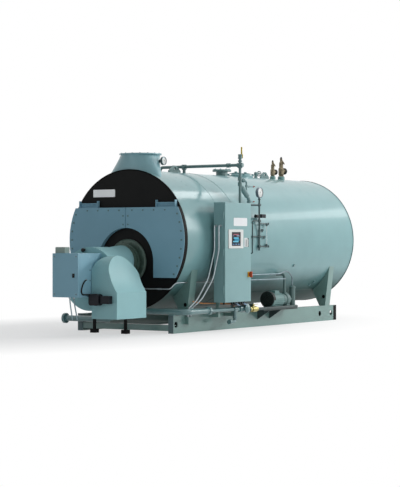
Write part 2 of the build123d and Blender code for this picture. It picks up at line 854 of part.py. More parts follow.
export_step(panel_door.part, "parts/panel_door.step")

bezel_width = bezel_high_y - bezel_low_y
bezel_height = bezel_high_z - bezel_low_z
bezel_middle = ((bezel_low_y + bezel_high_y) / 2, (bezel_low_z + bezel_high_z) / 2)
with BuildPart() as screen_bezel:
    with BuildSketch(Plane.YZ.offset(panel_face_x)):
        with Locations(bezel_middle):
            RectangleRounded(bezel_width, bezel_height, bezel_depth)
    extrude(amount=bezel_depth)
    chamfer(screen_bezel.faces().sort_by(Axis.X)[-1].edges(), length=bezel_depth / 3)
    with BuildSketch(Plane.YZ.offset(panel_face_x + bezel_depth - screen_recess)):
        with Locations(bezel_middle):
            Rectangle(bezel_width - 2 * screen_margin_y, bezel_height - 2 * screen_margin_z)
    extrude(amount=screen_recess, mode=Mode.SUBTRACT)
screen_bezel.part.label = "screen_bezel"
export_step(screen_bezel.part, "parts/screen_bezel.step")

with BuildPart() as panel_latch:
    with BuildSketch(Plane.YZ.offset(panel_face_x)):
        with Locations((latch_y, latch_z)):
            RectangleRounded(latch_width, latch_height, latch_width / 4)
    extrude(amount=latch_depth / 2)
    with BuildSketch(Plane.YZ.offset(panel_face_x)):
        with Locations((latch_y, latch_z)):
            SlotOverall(latch_height - latch_width / 2, latch_width / 2, rotation=90)
    extrude(amount=latch_depth)
panel_latch.part.label = "panel_latch"
export_step(panel_latch.part, "parts/panel_latch.step")

# Rotary disconnect: a fixed plate on the door and a grip that turns a quarter
with BuildPart() as switch_plate_piece:
    with BuildSketch(Plane.YZ.offset(panel_face_x)):
        with Locations((switch_y, switch_z)):
            RectangleRounded(switch_plate, switch_plate, switch_plate / 8)
    extrude(amount=switch_plate_depth)
    chamfer(switch_plate_piece.faces().sort_by(Axis.X)[-1].edges(), length=switch_plate_depth / 4)
switch_plate_piece.part.label = "switch_plate"
export_step(switch_plate_piece.part, "parts/switch_plate.step")

switch_face_x = panel_face_x + switch_plate_depth + seat_gap
with BuildPart() as switch_handle:
    with BuildSketch(Plane.YZ.offset(switch_face_x)):
        with Locations((switch_y, switch_z)):
            Circle(switch_knob_radius)
    extrude(amount=switch_grip_depth / 2)
    with BuildSketch(Plane.YZ.offset(switch_face_x + switch_grip_depth / 4)):
        with Locations((switch_y, switch_z)):
            SlotOverall(switch_grip_length, switch_grip_width, rotation=90)
    extrude(amount=switch_grip_depth - switch_grip_depth / 4)
switch_handle.part.label = "switch_handle"
export_step(switch_handle.part, "parts/switch_handle.step")

# Two posts on arms from the rail's web carry the panel from behind
with BuildPart() as panel_stand:
    for post_y in (post_front_y, post_rear_y):
        with BuildSketch(facing_front(post_y)):
            with BuildLine():
                Polyline(
                    (rail_web_x, rail_height - arm_height),
                    (post_outer_x, rail_height - arm_height),
                    (post_outer_x, tab_low_z),
                    (panel_back_x, tab_low_z),
                    (panel_back_x, tab_low_z + tab_height),
                    (post_outer_x, tab_low_z + tab_height),
                    (post_outer_x, tab_high_z),
                    (panel_back_x, tab_high_z),
                    (panel_back_x, tab_high_z + tab_height),
                    (post_outer_x, tab_high_z + tab_height),
                    (post_outer_x, post_top_z),
                    (post_inner_x, post_top_z),
                    (post_inner_x, rail_height),
                    (rail_web_x, rail_height),
                    close=True,
                )
            make_face()
        extrude(amount=-post_width)
    with BuildSketch(facing_front(post_front_y - cut_overrun)):
        with Locations((0, shell_axis_z)):
            Circle(shell_radius + running_gap)
    extrude(amount=-(post_rear_y - post_front_y + post_width + 2 * cut_overrun), mode=Mode.SUBTRACT)
panel_stand.part.label = "panel_stand"
export_step(panel_stand.part, "parts/panel_stand.step")

# Fuel gas line: from the left flange under the burner, up, across and back beside the rail
gas_route = [
    (gas_inlet_x, gas_low_y, gas_low_z),
    (-hood_left_x, gas_low_y, gas_low_z),
    (0, gas_front_y, gas_high_z),
    (gas_side_x, gas_front_y, gas_high_z),
    (gas_side_x, gas_union_y, gas_high_z),
]
with BuildPart() as gas_pipe:
    add(pipe_run(gas_route, gas_pipe_radius, gas_bend_radius))
    add(collar(gas_route[0], (-1, 0, 0), gas_flange_radius, gas_flange_thickness))
    add(collar(gas_route[0], (1, 0, 0), gas_flange_radius, gas_flange_thickness))
    add(pipe_run([(riser_x, gas_front_y, gas_high_z), (riser_x, gas_front_y, arch_centre_z)],
                 gas_small_radius, gas_bend_radius))
    add(burner_tube.part, mode=Mode.SUBTRACT)
    with BuildSketch(Plane.XY.offset(rail_height)):
        with Locations((rail_web_x - rail_flange_width / 2, gas_front_y + rail_web_thickness)):
            Rectangle(rail_flange_width, gas_pipe_radius)
    extrude(amount=gas_high_z - rail_height)
gas_pipe.part.label = "gas_pipe"
export_step(gas_pipe.part, "parts/gas_pipe.step")

gas_train_y = gas_union_y + gas_union_length
drain_radius = 26
regulator_radius = 2 * gas_small_radius
with BuildPart() as gas_train:
    with BuildSketch(facing_front(gas_union_y)):
        with Locations((gas_side_x, gas_high_z)):
            RegularPolygon(gas_union_radius, 8)
    extrude(amount=-gas_union_length)
    chamfer(gas_train.faces().filter_by(Axis.Y).edges(), length=gas_union_length / 8)
    add(collar((gas_side_x, gas_train_y, gas_high_z), (0, 1, 0), gas_small_radius, gas_end_y - gas_train_y))
    add(turned((gas_side_x, gas_regulator_y - 2 * regulator_radius, gas_high_z), (0, 1, 0), [
        (0, 0),
        (regulator_radius * 0.75, 0),
        (regulator_radius, regulator_radius),
        (regulator_radius, 3 * regulator_radius),
        (regulator_radius * 0.75, 4 * regulator_radius),
        (0, 4 * regulator_radius),
    ]))
    add(turned((gas_side_x, gas_regulator_y, gas_high_z), (1, 0, 0), [
        (0, 0),
        (regulator_radius * 0.6, 0),
        (regulator_radius * 0.6, regulator_radius * 1.1),
        (regulator_radius * 1.2, regulator_radius * 1.2),
        (regulator_radius * 1.2, regulator_radius * 1.5),
        (regulator_radius * 0.5, regulator_radius * 1.9),
        (0, regulator_radius * 1.9),
    ]))
    add(pipe_run([
        (gas_side_x, gas_drain_y, gas_high_z),
        (gas_side_x, gas_drain_y, gas_drain_low_z),
        (gas_side_x, gas_drain_y - gas_drain_run, gas_drain_low_z),
    ], drain_radius, drain_radius * 1.2))
    add(collar((gas_side_x, gas_drain_y - gas_drain_run, gas_drain_low_z), (0, 1, 0), drain_radius * 1.4,
               2 * drain_radius))
    add(collar((gas_side_x, gas_drain_y, gas_drain_low_z + 2 * drain_radius), (0, 0, 1),
               drain_radius * 1.35,
               drain_radius))
    add(collar((gas_side_x, gas_drain_y - 2 * drain_radius, gas_high_z), (0, 1, 0), drain_radius * 1.6,
               4 * drain_radius))
gas_train.part.label = "gas_train"
export_step(gas_train.part, "parts/gas_train.step")

# Feed pump: a ribbed motor, its fan cover, the casing and the strainer on one base
pump_plate_z = rail_height
motor_rear_y = motor_front_y + motor_length
casing_rear_y = motor_rear_y + pump_casing_length
strainer_y = casing_rear_y + strainer_gap
pump_plate_front_y = motor_front_y - pump_plate_lead
pump_plate_rear_y = strainer_y + pump_plate_tail
motor_foot_z = pump_plate_z + pump_plate_thickness
feed_z = motor_foot_z + feed_radius + seat_gap
with BuildPart() as pump_base:
    with BuildSketch(Plane.XY.offset(pump_plate_z)):
        with Locations(((pump_plate_inner_x + pump_plate_outer_x) / 2,
                        (pump_plate_front_y + pump_plate_rear_y) / 2)):
            Rectangle(pump_plate_outer_x - pump_plate_inner_x, pump_plate_rear_y - pump_plate_front_y)
    extrude(amount=pump_plate_thickness)
    for gusset_y in (motor_front_y - gusset_lead, motor_rear_y - gusset_tail):
        with BuildSketch(facing_front(gusset_y)):
            with BuildLine():
                Polyline(
                    (rail_web_x, pump_plate_z),
                    (rail_web_x + gusset_reach, pump_plate_z),
                    (rail_web_x, pump_plate_z - gusset_drop),
                    close=True,
                )
            make_face()
        extrude(amount=-gusset_thickness)
pump_base.part.label = "pump_base"
export_step(pump_base.part, "parts/pump_base.step")

with BuildPart() as pump_motor:
    with BuildSketch(facing_front(motor_front_y)):
        with Locations((pump_x, pump_axis_z)):
            Circle(motor_radius)
            with PolarLocations(motor_radius, motor_fins):
                Rectangle(2 * motor_fin_height, motor_fin_thickness)
    extrude(amount=-motor_length)
    with BuildSketch(Plane.XY.offset(motor_foot_z)):
        with Locations((pump_x, motor_front_y + motor_length / 2)):
            Rectangle(motor_radius * 1.3, motor_length / 2)
    extrude(amount=motor_radius / 2)
    with BuildSketch(Plane.XY.offset(pump_axis_z)):
        with Locations((pump_x, motor_front_y + motor_length / 2)):
            Rectangle(motor_radius, motor_radius * 1.2)
    extrude(amount=motor_radius * 1.35)
    add(turned((pump_x, motor_front_y, pump_axis_z), (0, -1, 0), [
        (0, 0),
        (fan_cover_radius, 0),
        (fan_cover_radius, fan_cover_length * 0.8),
        (fan_cover_radius * 0.88, fan_cover_length),
        (0, fan_cover_length),
    ]))
pump_motor.part.label = "pump_motor"
export_step(pump_motor.part, "parts/pump_motor.step")

pump_riser_top_z = 830
with BuildPart() as pump_casing:
    add(turned((pump_x, motor_rear_y, pump_axis_z), (0, 1, 0), [
        (0, 0),
        (pump_casing_radius * 0.7, 0),
        (pump_casing_radius * 0.7, pump_casing_length * 0.18),
        (pump_casing_radius * 0.86, pump_casing_length * 0.24),
        (pump_casing_radius * 0.86, pump_casing_length * 0.55),
        (pump_casing_radius, pump_casing_length * 0.6),
        (pump_casing_radius, pump_casing_length * 0.94),
        (pump_casing_radius * 0.8, pump_casing_length),
        (0, pump_casing_length),
    ]))
    with BuildSketch(Plane.XY.offset(motor_foot_z)):
        with Locations((pump_x, motor_rear_y + pump_casing_length * pump_riser_share)):
            Rectangle(pump_casing_radius * 1.4, pump_casing_length * 0.4)
    extrude(amount=pump_casing_radius)
    add(pipe_run([
        (pump_x, motor_rear_y + pump_casing_length * pump_riser_share, pump_axis_z),
        (pump_x, motor_rear_y + pump_casing_length * pump_riser_share, pump_riser_top_z),
        (shell_x_at(pump_riser_top_z) - feed_radius, motor_rear_y + pump_casing_length * pump_riser_share,
         pump_riser_top_z),
    ], feed_radius, 2 * feed_radius))
    add(collar((pump_x, motor_rear_y + pump_casing_length * pump_riser_share,
                pump_axis_z + pump_casing_radius * 0.9), (0, 0, 1),
               2 * feed_radius, feed_radius))
    add(pipe_run([
        (pump_x, casing_rear_y - feed_radius, pump_axis_z),
        (pump_x, strainer_y - strainer_radius, pump_axis_z),
    ], feed_radius, gas_bend_radius))
    with BuildSketch(facing_front(motor_rear_y)):
        with Locations((0, shell_axis_z)):
            Circle(shell_radius + seat_gap)
    extrude(amount=-2 * pump_casing_length, mode=Mode.SUBTRACT)
pump_casing.part.label = "pump_casing"
export_step(pump_casing.part, "parts/pump_casing.step")

with BuildPart() as pump_strainer:
    add(turned((pump_x, strainer_y, motor_foot_z), (0, 0, 1), [
        (0, 0),
        (strainer_radius * 1.2, 0),
        (strainer_radius * 1.2, strainer_radius * 0.3),
        (strainer_radius, strainer_radius * 0.3),
        (strainer_radius, strainer_top_z - motor_foot_z - strainer_radius),
        (strainer_radius * 1.15, strainer_top_z - motor_foot_z - strainer_radius),
        (strainer_radius * 1.15, strainer_top_z - motor_foot_z - strainer_radius * 0.6),
        (strainer_radius * 0.6, strainer_top_z - motor_foot_z - strainer_radius * 0.2),
        (0, strainer_top_z - motor_foot_z),
    ]))
    add(pump_casing.part, mode=Mode.SUBTRACT)
pump_strainer.part.label = "pump_strainer"
export_step(pump_strainer.part, "parts/pump_strainer.step")

with BuildPart() as feed_line:
    add(pipe_run([
        (feed_x, feed_start_y, feed_z),
        (feed_x, strainer_y, feed_z),
        (pump_x + strainer_radius, strainer_y, feed_z),
    ], feed_radius, 2 * feed_radius))
    add(collar((feed_x, feed_start_y, feed_z), (0, 1, 0), 1.5 * feed_radius, feed_radius))
    with BuildSketch(facing_front(pump_plate_front_y + feed_radius)):
        with BuildLine():
            Polyline(
                (pump_plate_outer_x - 2 * feed_radius, motor_foot_z),
                (feed_x + feed_radius / 2, motor_foot_z),
                (feed_x + feed_radius / 2, feed_z),
                (feed_x - feed_radius / 2, feed_z),
                (pump_plate_outer_x - 2 * feed_radius, motor_foot_z + feed_radius / 2),
                close=True,
            )
        make_face()
    extrude(amount=-2 * feed_radius)
    add(pump_strainer.part, mode=Mode.SUBTRACT)
feed_line.part.label = "feed_line"
export_step(feed_line.part, "parts/feed_line.step")

with BuildPart() as brass_valve:
    with BuildSketch(facing_front(feed_valve_y)):
        with Locations((feed_x, feed_z)):
            RegularPolygon(1.7 * feed_radius, 6)
            Circle(feed_radius + seat_gap, mode=Mode.SUBTRACT)
    extrude(amount=-feed_valve_length)
    with BuildSketch(facing_front(feed_valve_y + feed_valve_length / 4)):
        with Locations((feed_x, feed_z)):
            Circle(2.1 * feed_radius)
            Circle(feed_radius + seat_gap, mode=Mode.SUBTRACT)
    extrude(amount=-feed_valve_length / 2)
    with BuildSketch(Plane.XY.offset(feed_z + 1.2 * feed_radius)):
        with Locations((feed_x, feed_valve_y + feed_valve_length / 2)):
            Circle(feed_radius * 0.7)
    extrude(amount=2 * feed_radius)
    with BuildSketch(Plane.XY.offset(feed_z + 3.2 * feed_radius)):
        with Locations((feed_x, feed_valve_y + feed_valve_length * 0.75)):
            SlotOverall(feed_valve_length * 0.7, feed_radius, rotation=90)
    extrude(amount=feed_radius / 3)
brass_valve.part.label = "brass_valve"
export_step(brass_valve.part, "parts/brass_valve.step")

# Lifting lugs stand on the shell's top line
lug_top_z = shell_axis_z + shell_radius + lug_height
with BuildPart() as lifting_lugs:
    for lug_y, lug_length in ((front_lug_y, front_lug_length), (rear_lug_y, rear_lug_length)):
        with BuildSketch(facing_right(-lug_thickness / 2)):
            with BuildLine():
                Polyline(
                    (lug_y - lug_length / 2, shell_axis_z + shell_radius - cut_overrun),
                    (lug_y - lug_length / 2, shell_axis_z + shell_radius + lug_height / 4),
                    (lug_y - lug_length / 8, lug_top_z),
                    (lug_y + lug_length / 8, lug_top_z),
                    (lug_y + lug_length / 2, shell_axis_z + shell_radius + lug_height / 4),
                    (lug_y + lug_length / 2, shell_axis_z + shell_radius - cut_overrun),
                    close=True,
                )
            make_face()
            with Locations((lug_y, shell_axis_z + shell_radius + lug_height * 0.6)):
                Circle(lug_hole_radius, mode=Mode.SUBTRACT)
        extrude(amount=lug_thickness)
        with BuildSketch(facing_front(lug_y - lug_length / 2 - cut_overrun)):
            with Locations((0, shell_axis_z)):
                Circle(shell_radius + seat_gap)
        extrude(amount=-(lug_length + 2 * cut_overrun), mode=Mode.SUBTRACT)
lifting_lugs.part.label = "lifting_lugs"
export_step(lifting_lugs.part, "parts/lifting_lugs.step")

# Steam outlet nozzle with its flange
neck_bottom_z = shell_z_at(nozzle_neck_radius)
with BuildPart() as steam_nozzle:
    with BuildSketch(Plane.XY.offset(neck_bottom_z - cut_overrun)):
        with Locations((0, nozzle_y)):
            Circle(nozzle_neck_radius)
    extrude(amount=nozzle_top_z - neck_bottom_z + cut_overrun)
    with BuildSketch(Plane.XY.offset(nozzle_top_z - nozzle_flange_thickness)):
        with Locations((0, nozzle_y)):
            Circle(nozzle_flange_radius)
    extrude(amount=nozzle_flange_thickness)
    chamfer(steam_nozzle.faces().sort_by(Axis.Z)[-1].edges(), length=nozzle_flange_thickness / 8)
    with BuildSketch(facing_front(nozzle_y - nozzle_flange_radius)):
        with Locations((0, shell_axis_z)):
            Circle(shell_radius + seat_gap)
    extrude(amount=-2 * nozzle_flange_radius, mode=Mode.SUBTRACT)
steam_nozzle.part.label = "steam_nozzle"
export_step(steam_nozzle.part, "parts/steam_nozzle.step")

# Manway: an oval ring on the shell, its cover, and two yokes with bolts
manway_ring_bottom_z = shell_z_at(manway_half_width)
manway_ring_top_z = shell_axis_z + shell_radius + manway_ring_height
yoke_z = manway_ring_top_z + manway_cover_height
with BuildPart() as manway:
    with BuildSketch(Plane.XY.offset(manway_ring_bottom_z)):
        with Locations((0, manway_y)):
            Ellipse(manway_half_width, manway_half_length)
    extrude(amount=manway_ring_top_z - manway_ring_bottom_z)
    with BuildSketch(Plane.XY.offset(manway_ring_top_z)):
        with Locations((0, manway_y)):
            Ellipse(manway_half_width - 2 * manway_ring_height, manway_half_length - 2 * manway_ring_height)
    extrude(amount=manway_cover_height, taper=30)
    with BuildSketch(facing_front(manway_y - manway_half_length - cut_overrun)):
        with Locations((0, shell_axis_z)):
            Circle(shell_radius + seat_gap)
    extrude(amount=-2 * (manway_half_length + cut_overrun), mode=Mode.SUBTRACT)
    for yoke_y in (manway_y - yoke_spread, manway_y + yoke_spread):
        with BuildSketch(facing_front(yoke_y - yoke_foot / 2)):
            with BuildLine():
                Polyline(
                    (-manway_half_width + yoke_foot, manway_ring_top_z),
                    (-manway_half_width + 2.5 * yoke_foot, manway_ring_top_z),
                    (-manway_half_width + 2.5 * yoke_foot, yoke_z),
                    (manway_half_width - 2.5 * yoke_foot, yoke_z),
                    (manway_half_width - 2.5 * yoke_foot, manway_ring_top_z),
                    (manway_half_width - yoke_foot, manway_ring_top_z),
                    (manway_half_width - yoke_foot, yoke_z),
                    (yoke_foot, yoke_z + yoke_foot),
                    (-yoke_foot, yoke_z + yoke_foot),
                    (-manway_half_width + yoke_foot, yoke_z),
                    close=True,
                )
            make_face()
        extrude(amount=-yoke_foot)
        with BuildSketch(Plane.XY.offset(yoke_z)):
            with Locations((0, yoke_y)):
                Circle(yoke_foot / 2)
        extrude(amount=1.6 * yoke_foot)
        with BuildSketch(Plane.XY.offset(yoke_z + yoke_foot)):
            with Locations((0, yoke_y)):
                RegularPolygon(yoke_foot, 6)
        extrude(amount=0.6 * yoke_foot)
manway.part.label = "manway"
export_step(manway.part, "parts/manway.step")

# Safety valves: a stub on the shell, a turned body and bonnet, and an outlet to the side
valve_base_z = shell_axis_z + shell_radius
with BuildPart() as safety_valves:
    for valve_y, valve_height in ((safety_front_y, safety_front_height),
                                  (safety_rear_y, safety_rear_height)):
        body_radius = valve_height * 0.12
        outlet_z = valve_base_z + valve_height * 0.38
        add(turned((0, valve_y, valve_base_z - cut_overrun), (0, 0, 1), [
            (0, 0),
            (body_radius * 1.25, 0),
            (body_radius * 1.25, valve_height * 0.12 + cut_overrun),
            (body_radius * 0.8, valve_height * 0.17 + cut_overrun),
            (body_radius, valve_height * 0.24 + cut_overrun),
            (body_radius, valve_height * 0.48 + cut_overrun),
            (body_radius * 0.75, valve_height * 0.54 + cut_overrun),
            (body_radius * 0.75, valve_height * 0.74 + cut_overrun),
            (body_radius * 0.45, valve_height * 0.80 + cut_overrun),
            (body_radius * 0.45, valve_height * 0.92 + cut_overrun),
            (body_radius * 0.25, valve_height + cut_overrun),
            (0, valve_height + cut_overrun),
        ]))
        add(turned((0, valve_y, outlet_z), (0, 1, 0), [
            (0, 0),
            (body_radius * 0.8, 0),
            (body_radius * 0.8, body_radius * 1.4),
            (body_radius * 1.2, body_radius * 1.6),
            (body_radius * 1.2, body_radius * 2.4),
            (body_radius * 0.8, body_radius * 2.4),
            (body_radius * 0.8, body_radius * 1.9),
            (0, body_radius * 1.9),
        ]))
        with BuildSketch(facing_front(valve_y - body_radius / 4)):
            with BuildLine():
                Polyline(
                    (0, outlet_z + valve_height * 0.56),
                    (body_radius * 1.3, outlet_z + valve_height * 0.34),
                    (body_radius * 1.3, outlet_z + valve_height * 0.28),
                    (0, outlet_z + valve_height * 0.48),
                    close=True,
                )
            make_face()
        extrude(amount=-body_radius / 2)
        with BuildSketch(facing_front(valve_y - 2 * body_radius)):
            with Locations((0, shell_axis_z)):
                Circle(shell_radius + seat_gap)
        extrude(amount=-4 * body_radius, mode=Mode.SUBTRACT)
safety_valves.part.label = "safety_valves"
export_step(safety_valves.part, "parts/safety_valves.step")

# Angle valve with a handwheel that faces the rear
angle_body_radius = 30
angle_axis_z = valve_base_z + 2.6 * angle_body_radius
wheel_radius = 46
with BuildPart() as angle_valve:
    add(turned((0, angle_valve_y - 2 * angle_body_radius, valve_base_z - cut_overrun), (0, 0, 1), [
        (0, 0),
        (angle_body_radius, 0),
        (angle_body_radius, cut_overrun + angle_body_radius),
        (angle_body_radius * 0.7, cut_overrun + 1.4 * angle_body_radius),
        (angle_body_radius, cut_overrun + 2 * angle_body_radius),
        (angle_body_radius, cut_overrun + 3.2 * angle_body_radius),
        (0, cut_overrun + 3.6 * angle_body_radius),
    ]))
    add(turned((0, angle_valve_y - 2 * angle_body_radius, angle_axis_z), (0, 1, 0), [
        (0, 0),
        (angle_body_radius * 0.8, 0),
        (angle_body_radius * 0.8, angle_body_radius * 1.6),
        (angle_body_radius * 0.3, angle_body_radius * 2),
        (angle_body_radius * 0.3, angle_body_radius * 4),
        (0, angle_body_radius * 4),
    ]))
    with BuildSketch(facing_front(angle_valve_y + 1.4 * angle_body_radius)):
        with Locations((0, angle_axis_z)):
            Circle(wheel_radius)
            Circle(wheel_radius * 0.76, mode=Mode.SUBTRACT)
            Circle(wheel_radius * 0.3)
            Rectangle(1.8 * wheel_radius, wheel_radius / 5)
            Rectangle(wheel_radius / 5, 1.8 * wheel_radius)
    extrude(amount=-wheel_radius / 4)
    with BuildSketch(facing_front(angle_valve_y - 4 * angle_body_radius)):
        with Locations((0, shell_axis_z)):
            Circle(shell_radius + seat_gap)
    extrude(amount=-8 * angle_body_radius, mode=Mode.SUBTRACT)
angle_valve.part.label = "angle_valve"
export_step(angle_valve.part, "parts/angle_valve.step")

# Steam header: over the top of the shell, with two drops into it and a tee at the side
fitting_radius = 1.45 * header_radius
side_tee_z = 2310
side_union_z = 2225
with BuildPart() as steam_header:
    add(pipe_run([
        (header_left_x, header_y, shell_axis_z + shell_radius * 0.8),
        (header_left_x, header_y, header_z),
        (header_side_x - 2 * header_radius, header_y, header_z),
    ], header_radius, header_bend))
    add(pipe_run([
        (header_stub_x, header_y, shell_axis_z + shell_radius * 0.9),
        (header_stub_x, header_y, header_z),
    ], header_radius, header_bend))
    add(collar((header_stub_x - 1.6 * header_radius, header_y, header_z), (1, 0, 0), fitting_radius,
               3.2 * header_radius))
    add(collar((header_stub_x, header_y, header_z - 2 * header_radius), (0, 0, 1), fitting_radius,
               3.4 * header_radius))
    add(collar((header_side_x - 10 * header_radius, header_y, header_z), (1, 0, 0), fitting_radius,
               2.4 * header_radius))
    add(pipe_run([
        (header_side_x, header_y, header_side_top_z),
        (header_side_x, header_y, header_side_elbow_z),
        (shell_x_at(header_side_elbow_z) - header_radius, header_y, header_side_elbow_z),
    ], header_radius * 0.9, header_bend))
    for collar_z in (header_z - 2 * header_radius, side_tee_z, side_union_z):
        add(collar((header_side_x, header_y, collar_z), (0, 0, 1), fitting_radius, 2.4 * header_radius))
    add(collar((header_side_x, header_y, header_z + 2 * header_radius), (0, 0, 1), fitting_radius * 0.9,
               header_radius))
    add(collar((header_side_x - 2 * header_radius, header_y, header_z), (1, 0, 0), fitting_radius,
               4 * header_radius))
    with BuildSketch(facing_front(header_y - 4 * header_radius)):
        with Locations((0, shell_axis_z)):
            Circle(shell_radius + seat_gap)
    extrude(amount=-8 * header_radius, mode=Mode.SUBTRACT)
steam_header.part.label = "steam_header"
export_step(steam_header.part, "parts/steam_header.step")

# Ball valve on top of the riser; its lever turns about a stem on the rear side
lever_length = 150
lever_width = 24
lever_thickness = 6
vent_valve_z = header_side_top_z
vent_valve_radius = 34
vent_valve_height = 70
lever_pivot_z = vent_valve_z + vent_valve_height / 2
stem_radius = 9
vent_stem_reach = 8
lever_y = header_y + vent_valve_radius + vent_stem_reach
with BuildPart() as vent_valve:
    add(turned((header_side_x, header_y, vent_valve_z), (0, 0, 1), [
        (0, 0),
        (vent_valve_radius, 0),
        (vent_valve_radius, vent_valve_height * 0.25),
        (vent_valve_radius * 0.85, vent_valve_height * 0.35),
        (vent_valve_radius * 0.85, vent_valve_height * 0.75),
        (vent_valve_radius, vent_valve_height * 0.8),
        (vent_valve_radius * 0.8, vent_valve_height),
        (0, vent_valve_height),
    ]))
    add(collar((header_side_x, header_y, lever_pivot_z), (0, 1, 0), stem_radius * 1.6,
               lever_y - header_y - seat_gap))
    add(collar((header_side_x, header_y, lever_pivot_z), (0, 1, 0), stem_radius,
               lever_y - header_y + lever_thickness + stem_radius))
vent_valve.part.label = "vent_valve"
export_step(vent_valve.part, "parts/vent_valve.step")

with BuildPart() as valve_lever:
    with BuildSketch(facing_front(lever_y)):
        with BuildLine():
            Polyline(
                (header_side_x - lever_width, lever_pivot_z - lever_width),
                (header_side_x + lever_width, lever_pivot_z - lever_width),
                (header_side_x + lever_width, lever_pivot_z + lever_width),
                (header_side_x + lever_width / 2, lever_pivot_z + 2 * lever_width),
                (header_side_x + lever_width / 2, lever_pivot_z + lever_length),
                (header_side_x - lever_width / 2, lever_pivot_z + lever_length),
                (header_side_x - lever_width / 2, lever_pivot_z + 2 * lever_width),
                (header_side_x - lever_width, lever_pivot_z + lever_width),
                close=True,
            )
        make_face()
        with Locations((header_side_x, lever_pivot_z)):
            Circle(stem_radius + seat_gap, mode=Mode.SUBTRACT)
    extrude(amount=-lever_thickness)
valve_lever.part.label = "valve_lever"
export_step(valve_lever.part, "parts/valve_lever.step")

# Siphon: a wide slanted leg from the riser down to the column's top valve, with a thin loop above it
siphon_end_y = 1735
siphon_bottom_z = 1995
siphon_start_z = 2250
siphon_knee_y = 1708
siphon_knee_z = 2046
siphon_body_start_share = 0.16
siphon_body_end_share = 0.92
siphon_loop_z = 2318
siphon_loop_y = 1650
siphon_loop_low_z = 2096
siphon_loop_radius = 13
siphon_loop_bend = 48
siphon_valve_middle_y = 1562
siphon_valve_half = 40
siphon_stems = ((siphon_loop_y, 2228, 200), (siphon_end_y, 1992, 110))
siphon_nut_height = 24
siphon_handle_length = 64
with BuildPart() as siphon:
    siphon_points = [
        (header_side_x, header_y, siphon_start_z),
        (header_side_x, siphon_knee_y, siphon_knee_z),
        (header_side_x, siphon_end_y, siphon_bottom_z),
    ]
    add(pipe_run(siphon_points, siphon_radius, siphon_radius))
    siphon_fall = Vector(*siphon_points[1]) - Vector(*siphon_points[0])
    siphon_body_start = Vector(*siphon_points[0]) + siphon_fall * siphon_body_start_share
    siphon_body_length = siphon_fall.length * (siphon_body_end_share - siphon_body_start_share)
    add(turned(tuple(siphon_body_start), tuple(siphon_fall), [
        (0, 0),
        (siphon_radius * 1.1, 0),
        (siphon_radius * 1.5, siphon_radius * 0.8),
        (siphon_radius * 1.5, siphon_body_length - siphon_radius),
        (siphon_radius * 1.1, siphon_body_length),
        (0, siphon_body_length),
    ]))
    add(pipe_run([
        (header_side_x, header_y, siphon_loop_z),
        (header_side_x, siphon_loop_y, siphon_loop_z),
        (header_side_x, siphon_loop_y, siphon_loop_low_z),
    ], siphon_loop_radius, siphon_loop_bend))
    add(turned((header_side_x, siphon_valve_middle_y - siphon_valve_half, siphon_loop_z), (0, 1, 0), [
        (0, 0),
        (siphon_valve_half * 0.6, 0),
        (siphon_valve_half * 0.6, siphon_valve_half * 0.4),
        (siphon_valve_half * 0.85, siphon_valve_half * 0.7),
        (siphon_valve_half * 0.85, siphon_valve_half * 1.3),
        (siphon_valve_half * 0.6, siphon_valve_half * 1.6),
        (siphon_valve_half * 0.6, siphon_valve_half * 2),
        (0, siphon_valve_half * 2),
    ]))
    for stem_y, stem_z, stem_reach in siphon_stems:
        add(collar((header_side_x, stem_y, stem_z), (0, 1, 0), stem_radius, stem_reach))
        add(collar((header_side_x, stem_y, stem_z), (0, 1, 0), 2 * stem_radius, stem_reach * 0.4))
        add(collar((header_side_x, stem_y, stem_z - stem_radius), (0, 0, 1), 2.4 * stem_radius,
                   3 * stem_radius))
    add(collar((header_side_x, siphon_end_y, siphon_bottom_z - siphon_nut_height), (0, 0, 1),
               siphon_radius * 1.35,
               1.1 * siphon_nut_height))
    add(steam_header.part, mode=Mode.SUBTRACT)
siphon.part.label = "siphon"
export_step(siphon.part, "parts/siphon.step")

# Red tee handles on the two siphon valves
with BuildPart() as trim_handles:
    for stem_y, stem_z, stem_reach in siphon_stems:
        handle_y = stem_y + stem_reach
        add(collar((header_side_x, handle_y, stem_z), (0, 1, 0), stem_radius * 1.4, stem_radius * 1.6))
        with BuildSketch(facing_front(handle_y + stem_radius * 0.4)):
            with Locations((header_side_x, stem_z)):
                SlotOverall(siphon_handle_length, stem_radius * 1.4)
        extrude(amount=-stem_radius)
trim_handles.part.label = "trim_handles"
export_step(trim_handles.part, "parts/trim_handles.step")

